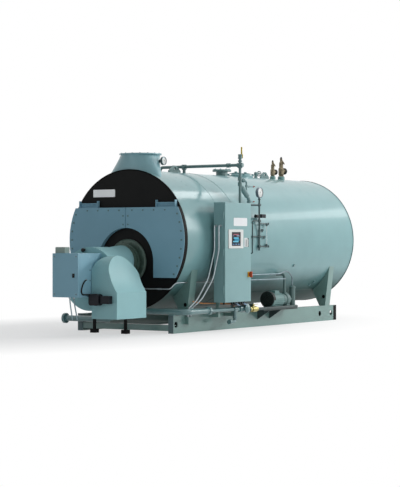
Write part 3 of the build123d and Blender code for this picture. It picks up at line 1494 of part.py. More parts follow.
# Water column: an upright pipe with crosses, links to the shell and to the siphon
link_top_z = 1944
link_upper_z = 1690
link_middle_z = 1442
glass_link_z = 1648
try_cock_z = 1547
try_cock_y = 2150
middle_cock_y = 2212
link_lower_z = 1289
cross_radius = 1.6 * column_radius
cock_radius = 1.1 * column_radius
with BuildPart() as water_column:
    add(pipe_run([(column_x, column_y, column_bottom_z), (column_x, column_y, column_top_z)],
                 column_radius, gas_bend_radius))
    add(pipe_run([
        (column_x, siphon_end_y, siphon_bottom_z - siphon_nut_height),
        (column_x, siphon_end_y, link_top_z),
        (column_x, column_y, link_top_z),
    ], column_radius * 0.9, column_radius * 1.2))
    add(pipe_run([
        (column_x, column_y, link_upper_z),
        (column_x, column_second_y, link_upper_z),
        (column_x, column_second_y, column_drain_z),
        (shell_x_at(column_drain_z) - column_radius, column_second_y, column_drain_z),
    ], column_radius * 0.7, column_radius * 1.5))
    add(collar((column_x, column_second_y, link_middle_z), (0, 1, 0), column_radius * 0.8,
               column_y - column_second_y))
    add(collar((column_x, column_second_y, link_middle_z - column_radius), (0, 0, 1), column_radius,
               2 * column_radius))
    for cock_y, cock_z in ((try_cock_y, try_cock_z), (middle_cock_y, link_middle_z)):
        add(collar((column_x, column_y, cock_z), (0, 1, 0), column_radius * 0.6, cock_y - column_y))
        add(collar((column_x, cock_y - 2.4 * column_radius, cock_z), (0, 1, 0), cock_radius,
                   2 * column_radius))
        add(collar((column_x, cock_y - 1.4 * column_radius, cock_z), (0, 0, -1), column_radius * 0.7,
                   2.6 * column_radius))
        add(collar((column_x, cock_y - column_radius * 0.4, cock_z), (0, 1, 0), 1.3 * column_radius,
                   column_radius * 0.4))
    for link_z in (glass_link_z, link_lower_z):
        add(collar((column_x, column_y, link_z), (0, 1, 0), column_radius * 0.7,
                   glass_y - column_y - 2 * column_radius))
    for link_z in (link_top_z, link_lower_z):
        add(collar((shell_x_at(link_z) - column_radius, column_y, link_z), (1, 0, 0), column_radius,
                   column_x - shell_x_at(link_z) + 2.4 * column_radius))
    for link_z in (link_top_z, link_upper_z, link_middle_z, link_lower_z):
        add(collar((column_x, column_y, link_z - 1.5 * column_radius), (0, 0, 1), cross_radius,
                   3 * column_radius))
        add(collar((column_x, column_y - 1.9 * column_radius, link_z), (0, 1, 0), cross_radius * 0.9,
                   3.8 * column_radius))
    add(collar((column_x, column_y, column_top_z - 2 * column_radius), (0, 0, 1), cross_radius,
               column_radius * 1.2))
    for cock_z, upward in ((link_lower_z, 1), (glass_link_z, -1)):
        add(collar((column_x, glass_y - 2 * column_radius, cock_z), (0, 1, 0), cock_radius,
                   4 * column_radius))
        add(collar((column_x, glass_y, cock_z), (0, 0, upward), cock_radius * 1.1, 2.4 * column_radius))
        add(collar((column_x, glass_y + 2 * column_radius, cock_z), (0, 1, 0), column_radius * 0.4,
                   column_radius))
        with BuildSketch(facing_front(glass_y + 3 * column_radius)):
            with Locations((column_x, cock_z)):
                Circle(1.4 * column_radius)
        extrude(amount=-column_radius / 2)
    with BuildSketch(facing_front(column_second_y - 4 * column_radius)):
        with Locations((0, shell_axis_z)):
            Circle(shell_radius + seat_gap)
    extrude(amount=-2 * (glass_y - column_second_y), mode=Mode.SUBTRACT)
water_column.part.label = "water_column"
export_step(water_column.part, "parts/water_column.step")

# Pressure gauge on top of the column, facing right
gauge_back_x = column_x - gauge_depth / 2
with BuildPart() as pressure_gauge:
    add(collar((column_x, column_y, column_top_z), (0, 0, 1), column_radius * 0.8, gauge_z - column_top_z))
    add(collar((gauge_back_x, column_y, gauge_z), (1, 0, 0), gauge_radius, gauge_depth))
    with BuildSketch(Plane.YZ.offset(gauge_back_x + gauge_depth - running_gap)):
        with Locations((column_y, gauge_z)):
            Circle(gauge_radius - running_gap)
    extrude(amount=running_gap, mode=Mode.SUBTRACT)
    chamfer(pressure_gauge.faces().sort_by(Axis.X)[0].edges(), length=running_gap)
pressure_gauge.part.label = "pressure_gauge"
export_step(pressure_gauge.part, "parts/pressure_gauge.step")

# Gauge glass between two angle cocks
glass_bottom_z = link_lower_z + 2.4 * column_radius
glass_top_z = glass_link_z - 2.4 * column_radius
with BuildPart() as gauge_glass:
    add(collar((column_x, glass_y, glass_bottom_z), (0, 0, 1), glass_radius, glass_top_z - glass_bottom_z))
gauge_glass.part.label = "gauge_glass"
export_step(gauge_glass.part, "parts/gauge_glass.step")

# Level probe: a black head screwed into the column
probe_z = 1770
probe_length = 128
probe_height = 58
with BuildPart() as level_probe:
    add(collar((column_x, column_y + column_radius + seat_gap, probe_z), (0, 1, 0), column_radius * 0.7,
               2 * column_radius))
    with BuildSketch(facing_front(column_y + 2 * column_radius)):
        with Locations((column_x, probe_z)):
            RectangleRounded(probe_height, probe_height, probe_height / 6)
    extrude(amount=-probe_length)
level_probe.part.label = "level_probe"
export_step(level_probe.part, "parts/level_probe.step")

# Washout plugs low on the right side of the shell
plug_radius = 26
plug_height = 16
plug_ys = (3324, 4270, 4342)
plug_across_shares = (0.92, 0.705, 0.752)
with BuildPart() as washout_plugs:
    for plug_y, across_share in zip(plug_ys, plug_across_shares):
        plug_x = shell_radius * across_share
        plug_z = 2 * shell_axis_z - shell_z_at(plug_x)
        outward = Vector(plug_x, 0, plug_z - shell_axis_z).normalized()
        foot = Vector(plug_x, plug_y, plug_z) - outward * plug_height
        add(collar(tuple(foot), tuple(outward), plug_radius, 2 * plug_height))
    with BuildSketch(facing_front(smokebox_length)):
        with Locations((0, shell_axis_z)):
            Circle(shell_radius + seat_gap)
    extrude(amount=-shell_length, mode=Mode.SUBTRACT)
washout_plugs.part.label = "washout_plugs"
export_step(washout_plugs.part, "parts/washout_plugs.step")

# Formed conduits from the panel's left side down to a box on the rail
with BuildPart() as conduit_box:
    with BuildSketch(Plane.YZ.offset(rail_web_x)):
        with Locations((conduit_box_low_y + conduit_box_length / 2,
                        conduit_box_top_z - conduit_box_height / 2)):
            Rectangle(conduit_box_length, conduit_box_height)
    extrude(amount=conduit_box_depth)
    chamfer(conduit_box.faces().sort_by(Axis.X)[-1].edges(), length=conduit_radius / 2)
conduit_box.part.label = "conduit_box"
export_step(conduit_box.part, "parts/conduit_box.step")

conduit_landing_x = rail_web_x + conduit_box_depth / 2
conduit_landing_y = conduit_box_low_y + conduit_box_length / 4
conduit_routes = (
    (
        (1142, panel_left_y, 1600),
        (1142, conduit_out_y, 1600),
        (1142, conduit_out_y, 1230),
        (1080, 556, 800),
        (990, 380, 480),
        (conduit_landing_x, conduit_landing_y, 350),
        (conduit_landing_x, conduit_landing_y, conduit_box_top_z),
    ),
    (
        (1220, panel_left_y, 1600),
        (1220, conduit_out_y, 1600),
        (1220, conduit_out_y, 1230),
        (1150, 586, 800),
        (1030, 440, 480),
        (conduit_landing_x, conduit_landing_y + conduit_box_length / 2, 350),
        (conduit_landing_x, conduit_landing_y + conduit_box_length / 2, conduit_box_top_z),
    ),
)
with BuildPart() as panel_conduits:
    for route_points in conduit_routes:
        add(pipe_run(route_points, conduit_radius,
                     bend_radii(route_points, conduit_run_share, conduit_largest_bend)))
        add(collar(route_points[0], (0, -1, 0), 1.8 * conduit_radius, conduit_radius))
        add(collar(route_points[-1], (0, 0, 1), 1.8 * conduit_radius, 2 * conduit_radius))
panel_conduits.part.label = "panel_conduits"
export_step(panel_conduits.part, "parts/panel_conduits.step")

# Thin conduit along the front plate and the shell to the back of the panel
front_conduit_route = [
    (front_conduit_start_x, front_conduit_y, front_conduit_low_z),
    (front_conduit_side_x, front_conduit_y, front_conduit_low_z),
    (front_conduit_x, front_conduit_turn_y, front_conduit_high_z),
    (front_conduit_x, front_conduit_end_y, front_conduit_high_z),
    (panel_back_x, front_conduit_end_y, front_conduit_high_z),
]
conduit_clip_xs = (300, 600)
with BuildPart() as front_conduit:
    add(pipe_run(front_conduit_route, thin_conduit_radius,
                 bend_radii(front_conduit_route, conduit_run_share, conduit_box_depth)))
    for clip_x in conduit_clip_xs:
        with BuildSketch(facing_front(front_conduit_y)):
            with Locations((clip_x, front_conduit_low_z)):
                RectangleRounded(4 * thin_conduit_radius, 3 * thin_conduit_radius, thin_conduit_radius / 2)
        extrude(amount=front_conduit_y)
front_conduit.part.label = "front_conduit"
export_step(front_conduit.part, "parts/front_conduit.step")

# Conduits from the panel's right side to the pump set
pump_riser_y = motor_rear_y + pump_casing_length * pump_riser_share
pump_conduit_inset = 80
pump_conduit_x = panel_back_x + pump_conduit_inset
pump_conduit_zs = (764, 845)
pump_conduit_turn = 180
pump_conduit_bow = 380
pump_conduit_crest = 50
strainer_drop_z = 790
with BuildPart() as pump_conduits:
    for pump_route in (
        (
            (pump_conduit_x, panel_right_y, pump_conduit_zs[0]),
            (pump_conduit_x, pump_riser_y - pump_conduit_turn, pump_conduit_zs[0]),
            (pump_x, pump_riser_y, pump_conduit_zs[0]),
        ),
        (
            (pump_conduit_x, panel_right_y, pump_conduit_zs[1]),
            (pump_conduit_x, pump_riser_y - pump_conduit_bow, pump_conduit_zs[1]),
            (pump_x + pump_conduit_crest, pump_riser_y, pump_conduit_zs[1] + pump_conduit_crest),
            (pump_x, strainer_y, strainer_drop_z),
            (pump_x, strainer_y, strainer_top_z),
        ),
    ):
        add(pipe_run(pump_route, conduit_radius,
                     bend_radii(pump_route, conduit_run_share, conduit_largest_bend)))
    for conduit_z in pump_conduit_zs:
        add(collar((pump_conduit_x, panel_right_y, conduit_z), (0, 1, 0), 1.8 * conduit_radius,
                   2 * conduit_radius))
    add(pump_casing.part, mode=Mode.SUBTRACT)
pump_conduits.part.label = "pump_conduits"
export_step(pump_conduits.part, "parts/pump_conduits.step")

# Rear door: a round bolted cover with a sight port
rear_door_radius = 840
rear_door_thickness = 45
rear_rim_width = 70
rear_taper = 45
sight_radius = 55
with BuildPart() as rear_door:
    with BuildSketch(facing_front(shell_length)):
        with Locations((0, shell_axis_z)):
            Circle(rear_door_radius)
    extrude(amount=-rear_door_thickness)
    with BuildSketch(facing_front(shell_length + rear_door_thickness)):
        with Locations((0, shell_axis_z)):
            Circle(rear_door_radius - rear_rim_width)
    extrude(amount=-rear_door_thickness / 2, taper=rear_taper)
    add(turned((0, shell_length + 1.5 * rear_door_thickness, shell_axis_z - rear_door_radius / 3),
               (0, 1, 0), [
        (0, 0),
        (sight_radius * 1.4, 0),
        (sight_radius * 1.4, sight_radius * 0.3),
        (sight_radius, sight_radius * 0.3),
        (sight_radius, sight_radius * 1.2),
        (sight_radius * 1.2, sight_radius * 1.2),
        (sight_radius * 1.2, sight_radius * 1.5),
        (0, sight_radius * 1.5),
    ]))
rear_door.part.label = "rear_door"
export_step(rear_door.part, "parts/rear_door.step")
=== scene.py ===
# %% [markdown]
# This scene dresses a packaged fire-tube boiler: a long blue-grey drum on a steel skid, with a
# burner on its front, a panel on its side and many small fittings. The solids come from the CAD
# frame, so the script starts by loading that frame and every new piece is placed in metres in it.

# %% Load the frame
import json
import math
import bpy
import bmesh
from mathutils import Matrix, Vector


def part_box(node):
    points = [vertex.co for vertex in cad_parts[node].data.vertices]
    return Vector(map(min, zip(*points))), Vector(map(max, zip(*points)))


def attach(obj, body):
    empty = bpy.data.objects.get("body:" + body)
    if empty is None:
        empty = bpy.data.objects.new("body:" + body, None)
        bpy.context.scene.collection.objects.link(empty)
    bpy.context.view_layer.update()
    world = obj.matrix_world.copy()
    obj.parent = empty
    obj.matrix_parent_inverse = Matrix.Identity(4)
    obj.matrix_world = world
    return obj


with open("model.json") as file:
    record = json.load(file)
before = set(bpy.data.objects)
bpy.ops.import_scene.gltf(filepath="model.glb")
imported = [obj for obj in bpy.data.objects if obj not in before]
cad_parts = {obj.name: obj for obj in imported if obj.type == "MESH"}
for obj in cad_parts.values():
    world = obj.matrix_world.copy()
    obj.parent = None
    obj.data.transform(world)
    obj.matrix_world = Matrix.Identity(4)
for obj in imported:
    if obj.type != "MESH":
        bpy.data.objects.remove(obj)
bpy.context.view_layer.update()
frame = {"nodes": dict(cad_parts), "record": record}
print("nodes in the frame:", len(frame["nodes"]))

# %% [markdown]
# A finish is a small network of nodes. Writing it by hand takes many lines, so two helpers keep it
# readable. Number wraps one socket and turns ordinary arithmetic into Math nodes, and Finish makes
# a material and adds any other node by its type, its settings and its inputs.

# %% Shader arithmetic
class Number:
    def __init__(self, tree, socket):
        self.tree = tree
        self.socket = socket

    def math(self, operation, *others, clamp=False):
        step = self.tree.nodes.new("ShaderNodeMath")
        step.operation = operation
        step.use_clamp = clamp
        for place, value in enumerate((self,) + others):
            join(self.tree, value, step.inputs[place])
        return Number(self.tree, step.outputs[0])

    def __add__(self, other):
        return self.math("ADD", other)

    def __radd__(self, other):
        return self.math("ADD", other)

    def __sub__(self, other):
        return self.math("SUBTRACT", other)

    def __rsub__(self, other):
        return self * -1.0 + other

    def __mul__(self, other):
        return self.math("MULTIPLY", other)

    def __rmul__(self, other):
        return self.math("MULTIPLY", other)

    def __truediv__(self, other):
        return self.math("DIVIDE", other)

    def __pow__(self, other):
        return self.math("POWER", other)

    def above(self, other):
        return self.math("GREATER_THAN", other)

    def below(self, other):
        return self.math("LESS_THAN", other)

    def held(self):
        return self.math("ADD", 0.0, clamp=True)


def join(tree, value, socket):
    if isinstance(value, Number):
        tree.links.new(value.socket, socket)
    elif isinstance(value, bpy.types.NodeSocket):
        tree.links.new(value, socket)
    else:
        socket.default_value = value


# %% Finish: one material and its nodes
class Finish:
    def __init__(self, name):
        self.material = bpy.data.materials.new(name)
        self.material.use_nodes = True
        self.tree = self.material.node_tree
        self.surface = self.tree.nodes["Principled BSDF"]

    def node(self, kind, settings=None, **inputs):
        made = self.tree.nodes.new(kind)
        for key, value in (settings or {}).items():
            setattr(made, key, value)
        for key, value in inputs.items():
            name = key.replace("_", " ")
            place = made.inputs[int(key[1:])] if key[1:].isdigit() else made.inputs[name]
            join(self.tree, value, place)
        return made

    def number(self, socket):
        return Number(self.tree, socket)

    def set(self, **inputs):
        for key, value in inputs.items():
            join(self.tree, value, self.surface.inputs[key.replace("_", " ")])

    def place(self, scale=(1, 1, 1)):
        where = self.node("ShaderNodeTexCoord")
        return self.node("ShaderNodeMapping", Vector=where.outputs["Object"], Scale=scale).outputs[0]

    def noise(self, scale, detail=3.0, place=None, roughness=0.5):
        cloud = self.node("ShaderNodeTexNoise", Vector=place or self.place(), Scale=scale, Detail=detail,
                          Roughness=roughness)
        return self.number(cloud.outputs[0])

    def blend(self, share, first, second):
        mix = self.node("ShaderNodeMix", {"data_type": "RGBA"})
        join(self.tree, share, mix.inputs[0])
        join(self.tree, first, mix.inputs[6])
        join(self.tree, second, mix.inputs[7])
        return mix.outputs[2]

    def bump(self, height, strength, distance):
        raised = self.node("ShaderNodeBump", Height=height, Strength=strength, Distance=distance)
        self.set(Normal=raised.outputs[0])


# %% [markdown]
# Colours read off a screen are display values, while a shader wants linear light. One function
# turns the eight-bit numbers that a painter would note down into the values that a socket takes.

# %% Colour from display numbers
def paint(red, green, blue):
    def linear(level):
        share = level / 255
        return share / 12.92 if share <= 0.04045 else ((share + 0.055) / 1.055) ** 2.4
    return (linear(red), linear(green), linear(blue), 1.0)


# %% [markdown]
# Most of the boiler wears sprayed machine enamel. Real enamel is never one colour: it has faint
# cloudy patches, a fine orange-peel skin that softens highlights, and dust in a few places. All of
# that comes from noise at three sizes, which is cheap and has no seams.

# %% Enamel
def enamel(name, colour, dark=0.90, light=1.05, shine=0.38, grain=1.0, mirror=0.35, coat=0.0, glow=0.0,
           zones=None):
    finish = Finish(name)
    patches = finish.noise(1.7, 4.0)
    speckle = finish.noise(55.0, 2.0)
    dust = (finish.noise(6.0, 5.0, roughness=0.65) - 0.5) * 2.4
    deep = tuple(c * dark for c in colour[:3]) + (1.0,)
    pale = tuple(min(1.0, c * light) for c in colour[:3]) + (1.0,)
    tone = (patches * 0.75 + speckle * 0.25 - 0.28) * 2.0
    coloured = finish.blend(tone.held(), deep, pale)
    rough = shine + dust.held() * 0.14 + speckle * 0.04
    if zones:
        for share, other, dull in zones(finish):
            coloured = finish.blend(share, coloured, other)
            rough = rough + share * dull
            coat = (1.0 - share) * coat
    # glow makes a finish shine by itself, which is painted light.
    finish.set(Base_Color=coloured, Metallic=0.0, Specular_IOR_Level=mirror, Coat_Weight=coat,
               Coat_Roughness=0.12, Emission_Color=colour, Emission_Strength=glow, Roughness=rough)
    peel = finish.noise(240.0, 2.0) * 0.6 + finish.noise(38.0, 2.0) * 0.4
    finish.bump(peel, 0.10 * grain, 0.0012)
    return finish.material


# %% [markdown]
# Three pieces have a second tone in one place: the drum's underside is darker and duller, as painted
# shade and painted dark reflection, the rails' front ends are darker, as painted shade, and the plug
# on top of the control box is grey. A zone gives the share of the second tone, its colour, and how much
# duller it is.

# %% Zones with another tone
# Height below which the drum's colour turns to painted shade.
painted_shade_top = 0.90
painted_shade_rail_y = -0.088
box_lid_top = 1.197


def axes(finish):
    where = finish.node("ShaderNodeTexCoord").outputs["Object"]
    split = finish.node("ShaderNodeSeparateXYZ", Vector=where)
    return [finish.number(socket) for socket in split.outputs]


# Painted shade and painted dark reflection: the drum's colour darkens and dulls towards the bottom.
def belly_painted_shade(finish):
    height = axes(finish)[2]
    depth = (height - painted_shade_top) * -2.6 + finish.noise(5.0) * 0.2
    return [(depth.held() * 0.96, paint(46, 78, 74), 0.30)]


# Painted shade: the rails' front ends are darkened to stand in for the shade and dark reflections there.
def rail_end_painted_shade(finish):
    along = axes(finish)[1]
    return [(((along - painted_shade_rail_y) * -400.0).held(), paint(86, 108, 112), 0.1)]


def plug_zone(finish):
    height = axes(finish)[2]
    return [(height.above(box_lid_top), paint(150, 168, 160), 0.1)]


# %% All enamels
shell_enamel = enamel("shell_enamel", paint(118, 161, 164), shine=0.30, grain=0.5, mirror=0.3,
                      coat=0.5, zones=belly_painted_shade)
door_enamel = enamel("door_enamel", paint(136, 181, 200), shine=0.45)
skid_enamel = enamel("skid_enamel", paint(112, 146, 141), shine=0.30, grain=1.2, mirror=0.5,
                     coat=0.5, zones=rail_end_painted_shade)
burner_enamel = enamel("burner_enamel", paint(156, 204, 208), shine=0.46, mirror=0.4)
hood_enamel = enamel("hood_enamel", paint(136, 182, 190), shine=0.32, mirror=0.45, coat=0.3)
case_enamel = enamel("case_enamel", paint(112, 124, 134), dark=0.7, shine=0.34, mirror=0.5)
box_enamel = enamel("box_enamel", paint(142, 188, 206), shine=0.36, zones=plug_zone)
panel_enamel = enamel("panel_enamel", paint(138, 176, 178), shine=0.36, grain=1.4)
pipe_enamel = enamel("pipe_enamel", paint(100, 136, 138), shine=0.3, mirror=0.5, coat=0.4)
black_heat_paint = enamel("black_heat_paint", paint(14, 15, 15), dark=0.7, light=1.4,
                          shine=0.6, mirror=0.12)
motor_enamel = enamel("motor_enamel", paint(104, 138, 136), shine=0.4, grain=1.6)
fitting_enamel = enamel("fitting_enamel", paint(104, 134, 134), dark=0.75, shine=0.36,
                        grain=2.0, mirror=0.5)
trim_enamel = enamel("trim_enamel", paint(58, 84, 86), dark=0.6, light=1.3, shine=0.36,
                     grain=2.0, mirror=0.4)
pump_enamel = enamel("pump_enamel", paint(92, 122, 120), dark=0.7, shine=0.38, grain=2.5, mirror=0.5)
tube_enamel = enamel("tube_enamel", paint(76, 96, 86), dark=0.25, light=1.9, shine=0.36,
                     grain=2.5, mirror=0.4)
base_enamel = enamel("base_enamel", paint(64, 78, 78), dark=0.6, light=1.3, shine=0.4,
                     grain=2.0, mirror=0.3)
blue_fitting = enamel("blue_fitting", paint(120, 150, 176), dark=0.75, shine=0.3,
                      grain=1.5, mirror=0.5)
yellow_grip = enamel("yellow_grip", paint(222, 190, 40), shine=0.35)
red_plastic = enamel("red_plastic", paint(178, 70, 30), shine=0.3)
yellow_plastic = enamel("yellow_plastic", paint(216, 168, 40), shine=0.3)
pale_plastic = enamel("pale_plastic", paint(228, 230, 228), shine=0.35)
# Painted light: this sheet glows a little, so the plaque stays white on the dark front plate.
white_sheet_painted_glow = enamel("white_sheet_painted_glow", paint(246, 247, 248), dark=0.96, light=1.02, shine=0.3,
                     glow=0.14)
label_sheet = enamel("label_sheet", paint(236, 238, 240), dark=0.96, light=1.02, shine=0.3)
fan_black = enamel("fan_black", paint(30, 40, 38), dark=0.5, light=1.8, shine=0.42,
                   grain=2.0, mirror=0.25)
black_plastic = enamel("black_plastic", paint(18, 19, 21), shine=0.38, grain=2.0, mirror=0.2)
dark_iron = enamel("dark_iron", paint(30, 32, 38), shine=0.45, grain=3.0, mirror=0.2)
print("materials so far:", len(bpy.data.materials))

# %% [markdown]
# Bare metal is different from paint: it reflects its surroundings, and its roughness changes in
# fine streaks where it was drawn, turned or rubbed. Brass adds a warmer tone and dull brown stains
# in the hollows.

# %% Bare metals
def bare_metal(name, colour, stain, shine=0.3, streak=(1, 1, 1)):
    finish = Finish(name)
    lines = finish.noise(90.0, 3.0, place=finish.place(streak))
    cloud = finish.noise(14.0, 4.0, roughness=0.6)
    dirt = ((cloud - 0.48) * 3.0).held()
    finish.set(Base_Color=finish.blend(dirt * 0.6, colour, stain), Metallic=0.95,
               Roughness=(shine + lines * 0.16 + dirt * 0.12))
    finish.bump(lines, 0.08, 0.0005)
    return finish.material


# %% [markdown]
# Two safety valves stand near the rear, a small one and a large one. Both have a painted base, a
# stained bronze body, and a dark outlet and tip, told apart by height and by place along the drum.

# %% Bronze of the safety valves
between_valves = 4.45
valve_base_top = 2.512
small_outlet_y = 4.368
large_outlet_y = 4.676
small_tip_z = 2.760
large_tip_z = 2.826


def valve_bronze(name):
    finish = Finish(name)
    _, along, height = axes(finish)
    cloud = finish.noise(30.0, 4.0, roughness=0.6)
    dirt = ((cloud - 0.45) * 4.0).held()
    tone = finish.blend(dirt, paint(128, 116, 92), paint(34, 34, 28))
    small = along.below(between_valves)
    base = height.below(valve_base_top)
    outlet = along.above(small_outlet_y) * small + along.above(large_outlet_y)
    tip = height.above(small_tip_z) * small + height.above(large_tip_z)
    tone = finish.blend(base.held(), tone, paint(92, 126, 124))
    tone = finish.blend((outlet + tip).held(), tone, paint(22, 24, 22))
    finish.set(Base_Color=tone, Metallic=0.35, Roughness=0.42 + cloud * 0.16)
    finish.bump(cloud, 0.2, 0.001)
    return finish.material


# %% All metals
zinc = bare_metal("zinc", paint(168, 178, 182), paint(112, 120, 122), shine=0.34)
worn_zinc = bare_metal("worn_zinc", paint(118, 136, 142), paint(60, 74, 80), shine=0.3)
steel = bare_metal("steel", paint(190, 194, 196), paint(120, 124, 126), shine=0.24, streak=(1, 1, 6))
brass = bare_metal("brass", paint(178, 168, 112), paint(96, 88, 50), shine=0.3)
bronze = valve_bronze("bronze")
copper = bare_metal("copper", paint(206, 144, 96), paint(140, 84, 52), shine=0.3)
print("materials with the metals:", len(bpy.data.materials))

# %% [markdown]
# Every solid of the frame has a slot, such as shell_paint or brass, that says what it is made of.
# One table gives each slot its finish, so a new node is dressed without another line. A second
# table is for the nodes that look different from the rest of their slot.

# %% Give every CAD node its finish
finish_of = {
    "shell_paint": shell_enamel, "front_paint": door_enamel, "skid_paint": skid_enamel,
    "burner_paint": burner_enamel, "panel_paint": panel_enamel, "dark_steel": black_heat_paint,
    "grey_metal": dark_iron, "black_plastic": black_plastic, "latch_plastic": pale_plastic,
    "switch_yellow": yellow_plastic, "switch_red": red_plastic, "lever_yellow": yellow_grip,
    "pipe_paint": pipe_enamel, "brass": bronze, "motor_paint": motor_enamel, "pump_iron": pump_enamel,
    "conduit_metal": zinc, "gauge_case": steel,
}
own_finish = {
    "front_plate": black_heat_paint, "steam_nozzle": fitting_enamel, "manway": shell_enamel,
    "brass_valve": brass, "rear_head": shell_enamel, "burner_tube": tube_enamel,
    "burner_flange": tube_enamel, "burner_stand": black_heat_paint, "conduit_box": skid_enamel,
    "angle_valve": fitting_enamel, "burner_control_box": box_enamel, "stack_hood": hood_enamel,
    "stack_thermometer": trim_enamel, "pressure_gauge": case_enamel,
    "vent_valve": fitting_enamel, "level_probe": dark_iron, "screen_bezel": pale_plastic,
    "steam_header": fitting_enamel, "siphon": pipe_enamel,
    "water_column": trim_enamel, "lifting_lugs": fitting_enamel, "pump_base": base_enamel,
    "feed_line": base_enamel, "door_brackets": door_enamel, "pump_conduits": worn_zinc,
}
slot_of = {part["node"]: part["material_slot"] for part in frame["record"]["subparts"]}
for name, node in frame["nodes"].items():
    finish = own_finish.get(name) or finish_of.get(slot_of[name])
    if finish:
        node.data.materials.clear()
        node.data.materials.append(finish)
print("finished nodes:", len(frame["nodes"]))

# %% [markdown]
# Glass needs little more than its own shader. The gauge glass is a thin bright tube, so a mostly
# clear surface with a little grey in it reads better than perfect glass.

# %% Clear glass
def clear_glass(name):
    finish = Finish(name)
    finish.set(Base_Color=(0.92, 0.97, 0.96, 1.0), Roughness=0.04, Alpha=0.28, Coat_Weight=0.5)
    return finish.material


glass = clear_glass("glass")
frame["nodes"]["gauge_glass"].data.materials.clear()
frame["nodes"]["gauge_glass"].data.materials.append(glass)
print("glass on: gauge_glass")

# %% [markdown]
# New pieces are built in bmesh and share a few steps: start a bmesh, add shapes to it with
# operators, then turn it into one object that rides on a body. Keeping those steps in helpers
# leaves each piece's own cell short.

# %% Turn a bmesh into a piece
def piece(name, body, material, shape, smooth=True):
    bmesh.ops.recalc_face_normals(shape, faces=shape.faces)
    mesh = bpy.data.meshes.new(name)
    shape.to_mesh(mesh)
    shape.free()
    made = bpy.data.objects.new(name, mesh)
    bpy.context.collection.objects.link(made)
    mesh.materials.append(material)
    for face in mesh.polygons:
        face.use_smooth = smooth
    if smooth:
        mesh.set_sharp_from_angle(angle=math.radians(35))
    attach(made, body)
    print(name, "on", body, "faces:", len(mesh.polygons))


def facing(axis):
    return Vector((0, 0, 1)).rotation_difference(Vector(axis)).to_matrix().to_4x4()


# %% Discs, bars and boxes with worked edges
def disc(shape, centre, axis, radius, height, sides=32, edge=0.0, top=None):
    made = bmesh.ops.create_cone(shape, cap_ends=True, segments=sides, radius1=radius,
                                 radius2=radius if top is None else top, depth=height)
    corners = made["verts"]
    bmesh.ops.translate(shape, verts=corners, vec=(0, 0, height / 2))
    if edge:
        rim = list({e for v in corners for e in v.link_edges
                    if all(abs(p.co.z - height) < 1e-7 for p in e.verts)})
        cut = bmesh.ops.bevel(shape, geom=rim, offset=edge, offset_type="OFFSET", segments=2,
                              profile=0.5, affect="EDGES", material=-1)
        corners = list({v for v in corners if v.is_valid} | set(cut["verts"]))
    placed = Matrix.Translation(Vector(centre)) @ facing(axis)
    bmesh.ops.transform(shape, verts=corners, matrix=placed)


def block(shape, low, high, edge=0.0, steps=2):
    made = bmesh.ops.create_cube(shape, size=1.0)
    corners = made["verts"]
    size = Vector(high) - Vector(low)
    bmesh.ops.scale(shape, verts=corners, vec=size)
    bmesh.ops.translate(shape, verts=corners, vec=(Vector(high) + Vector(low)) / 2)
    if edge:
        sides = list({e for v in corners for e in v.link_edges})
        bmesh.ops.bevel(shape, geom=sides, offset=edge, offset_type="OFFSET", segments=steps, profile=0.5,
                        affect="EDGES", material=-1)
    return corners


def hex_bolt(shape, centre, axis, size=0.012):
    disc(shape, centre, axis, size * 1.15, size * 0.18, sides=20, edge=size * 0.06)
    base = Vector(centre) + Vector(axis).normalized() * size * 0.15
    disc(shape, base, axis, size * 0.92, size * 0.75, sides=6, edge=size * 0.12)


def cap_screw(shape, centre, axis, size=0.005):
    disc(shape, centre, axis, size, size * 0.6, sides=14, edge=size * 0.25)


# %% [markdown]
# The two front doors are clamped with rows of bolts round their edges. Each bolt is a washer and a
# hexagon with a worn top edge. They are one mesh per door, because separate objects would only
# slow the file down.

# %% Door bolts
axis_z = 1.388
shell_radius = 1.067
door_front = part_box("door_left")[0][1]
door_low_z = 0.86
door_high_z = 1.84
bolt_circle = shell_radius - 0.050
front = (0, -1, 0)
right = (1, 0, 0)
up = (0, 0, 1)
down = (0, 0, -1)
for side, name in ((-1, "door_left_bolts"), (1, "door_right_bolts")):
    bolts = bmesh.new()
    for place in range(9):
        turn = math.radians(-30 + place * 7.5)
        x = math.cos(turn) * bolt_circle
        z = axis_z + math.sin(turn) * bolt_circle
        if door_low_z < z < door_high_z:
            hex_bolt(bolts, (side * x, door_front, z), front, 0.013)
    for x in (0.12, 0.32, 0.52, 0.72):
        hex_bolt(bolts, (side * x, door_front, door_high_z - 0.005), front, 0.011)
    for z in (1.62, 1.75):
        hex_bolt(bolts, (side * 0.045, door_front, z), front, 0.011)
    piece(name, "boiler", fitting_enamel, bolts)

# %% [markdown]
# The upper front plate is black and carries a small white plaque, held by four screws. The panel's
# door has a white label and a plate beside its latch. All three are thin rounded sheets, left bare.

# %% Blank plaque on the front plate
def plaque(name, body, low, high, along, material, corner=0.008, edge=0.0006):
    sheet = bmesh.new()
    block(sheet, low, high)
    thin = "xyz".index(along)
    across = [e for e in sheet.edges if abs(e.verts[0].co[thin] - e.verts[1].co[thin]) > 1e-5]
    bmesh.ops.bevel(sheet, geom=across, offset=corner, offset_type="OFFSET", segments=5, profile=0.5,
                    affect="EDGES", material=-1)
    rims = [e for e in sheet.edges if abs(e.verts[0].co[thin] - e.verts[1].co[thin]) < 1e-6]
    bmesh.ops.bevel(sheet, geom=rims, offset=edge, offset_type="OFFSET", segments=1, profile=0.5,
                    affect="EDGES", material=-1)
    piece(name, body, material, sheet)


plaque_low = (-0.655, -0.005, 2.043)
plaque_high = (-0.246, 0.0, 2.157)
plaque("front_plaque", "boiler", plaque_low, plaque_high, "y", white_sheet_painted_glow)
screws = bmesh.new()
for x in (-0.640, -0.261):
    for z in (2.056, 2.144):
        cap_screw(screws, (x, plaque_low[1], z), front, 0.006)
piece("front_plaque_screws", "boiler", steel, screws)

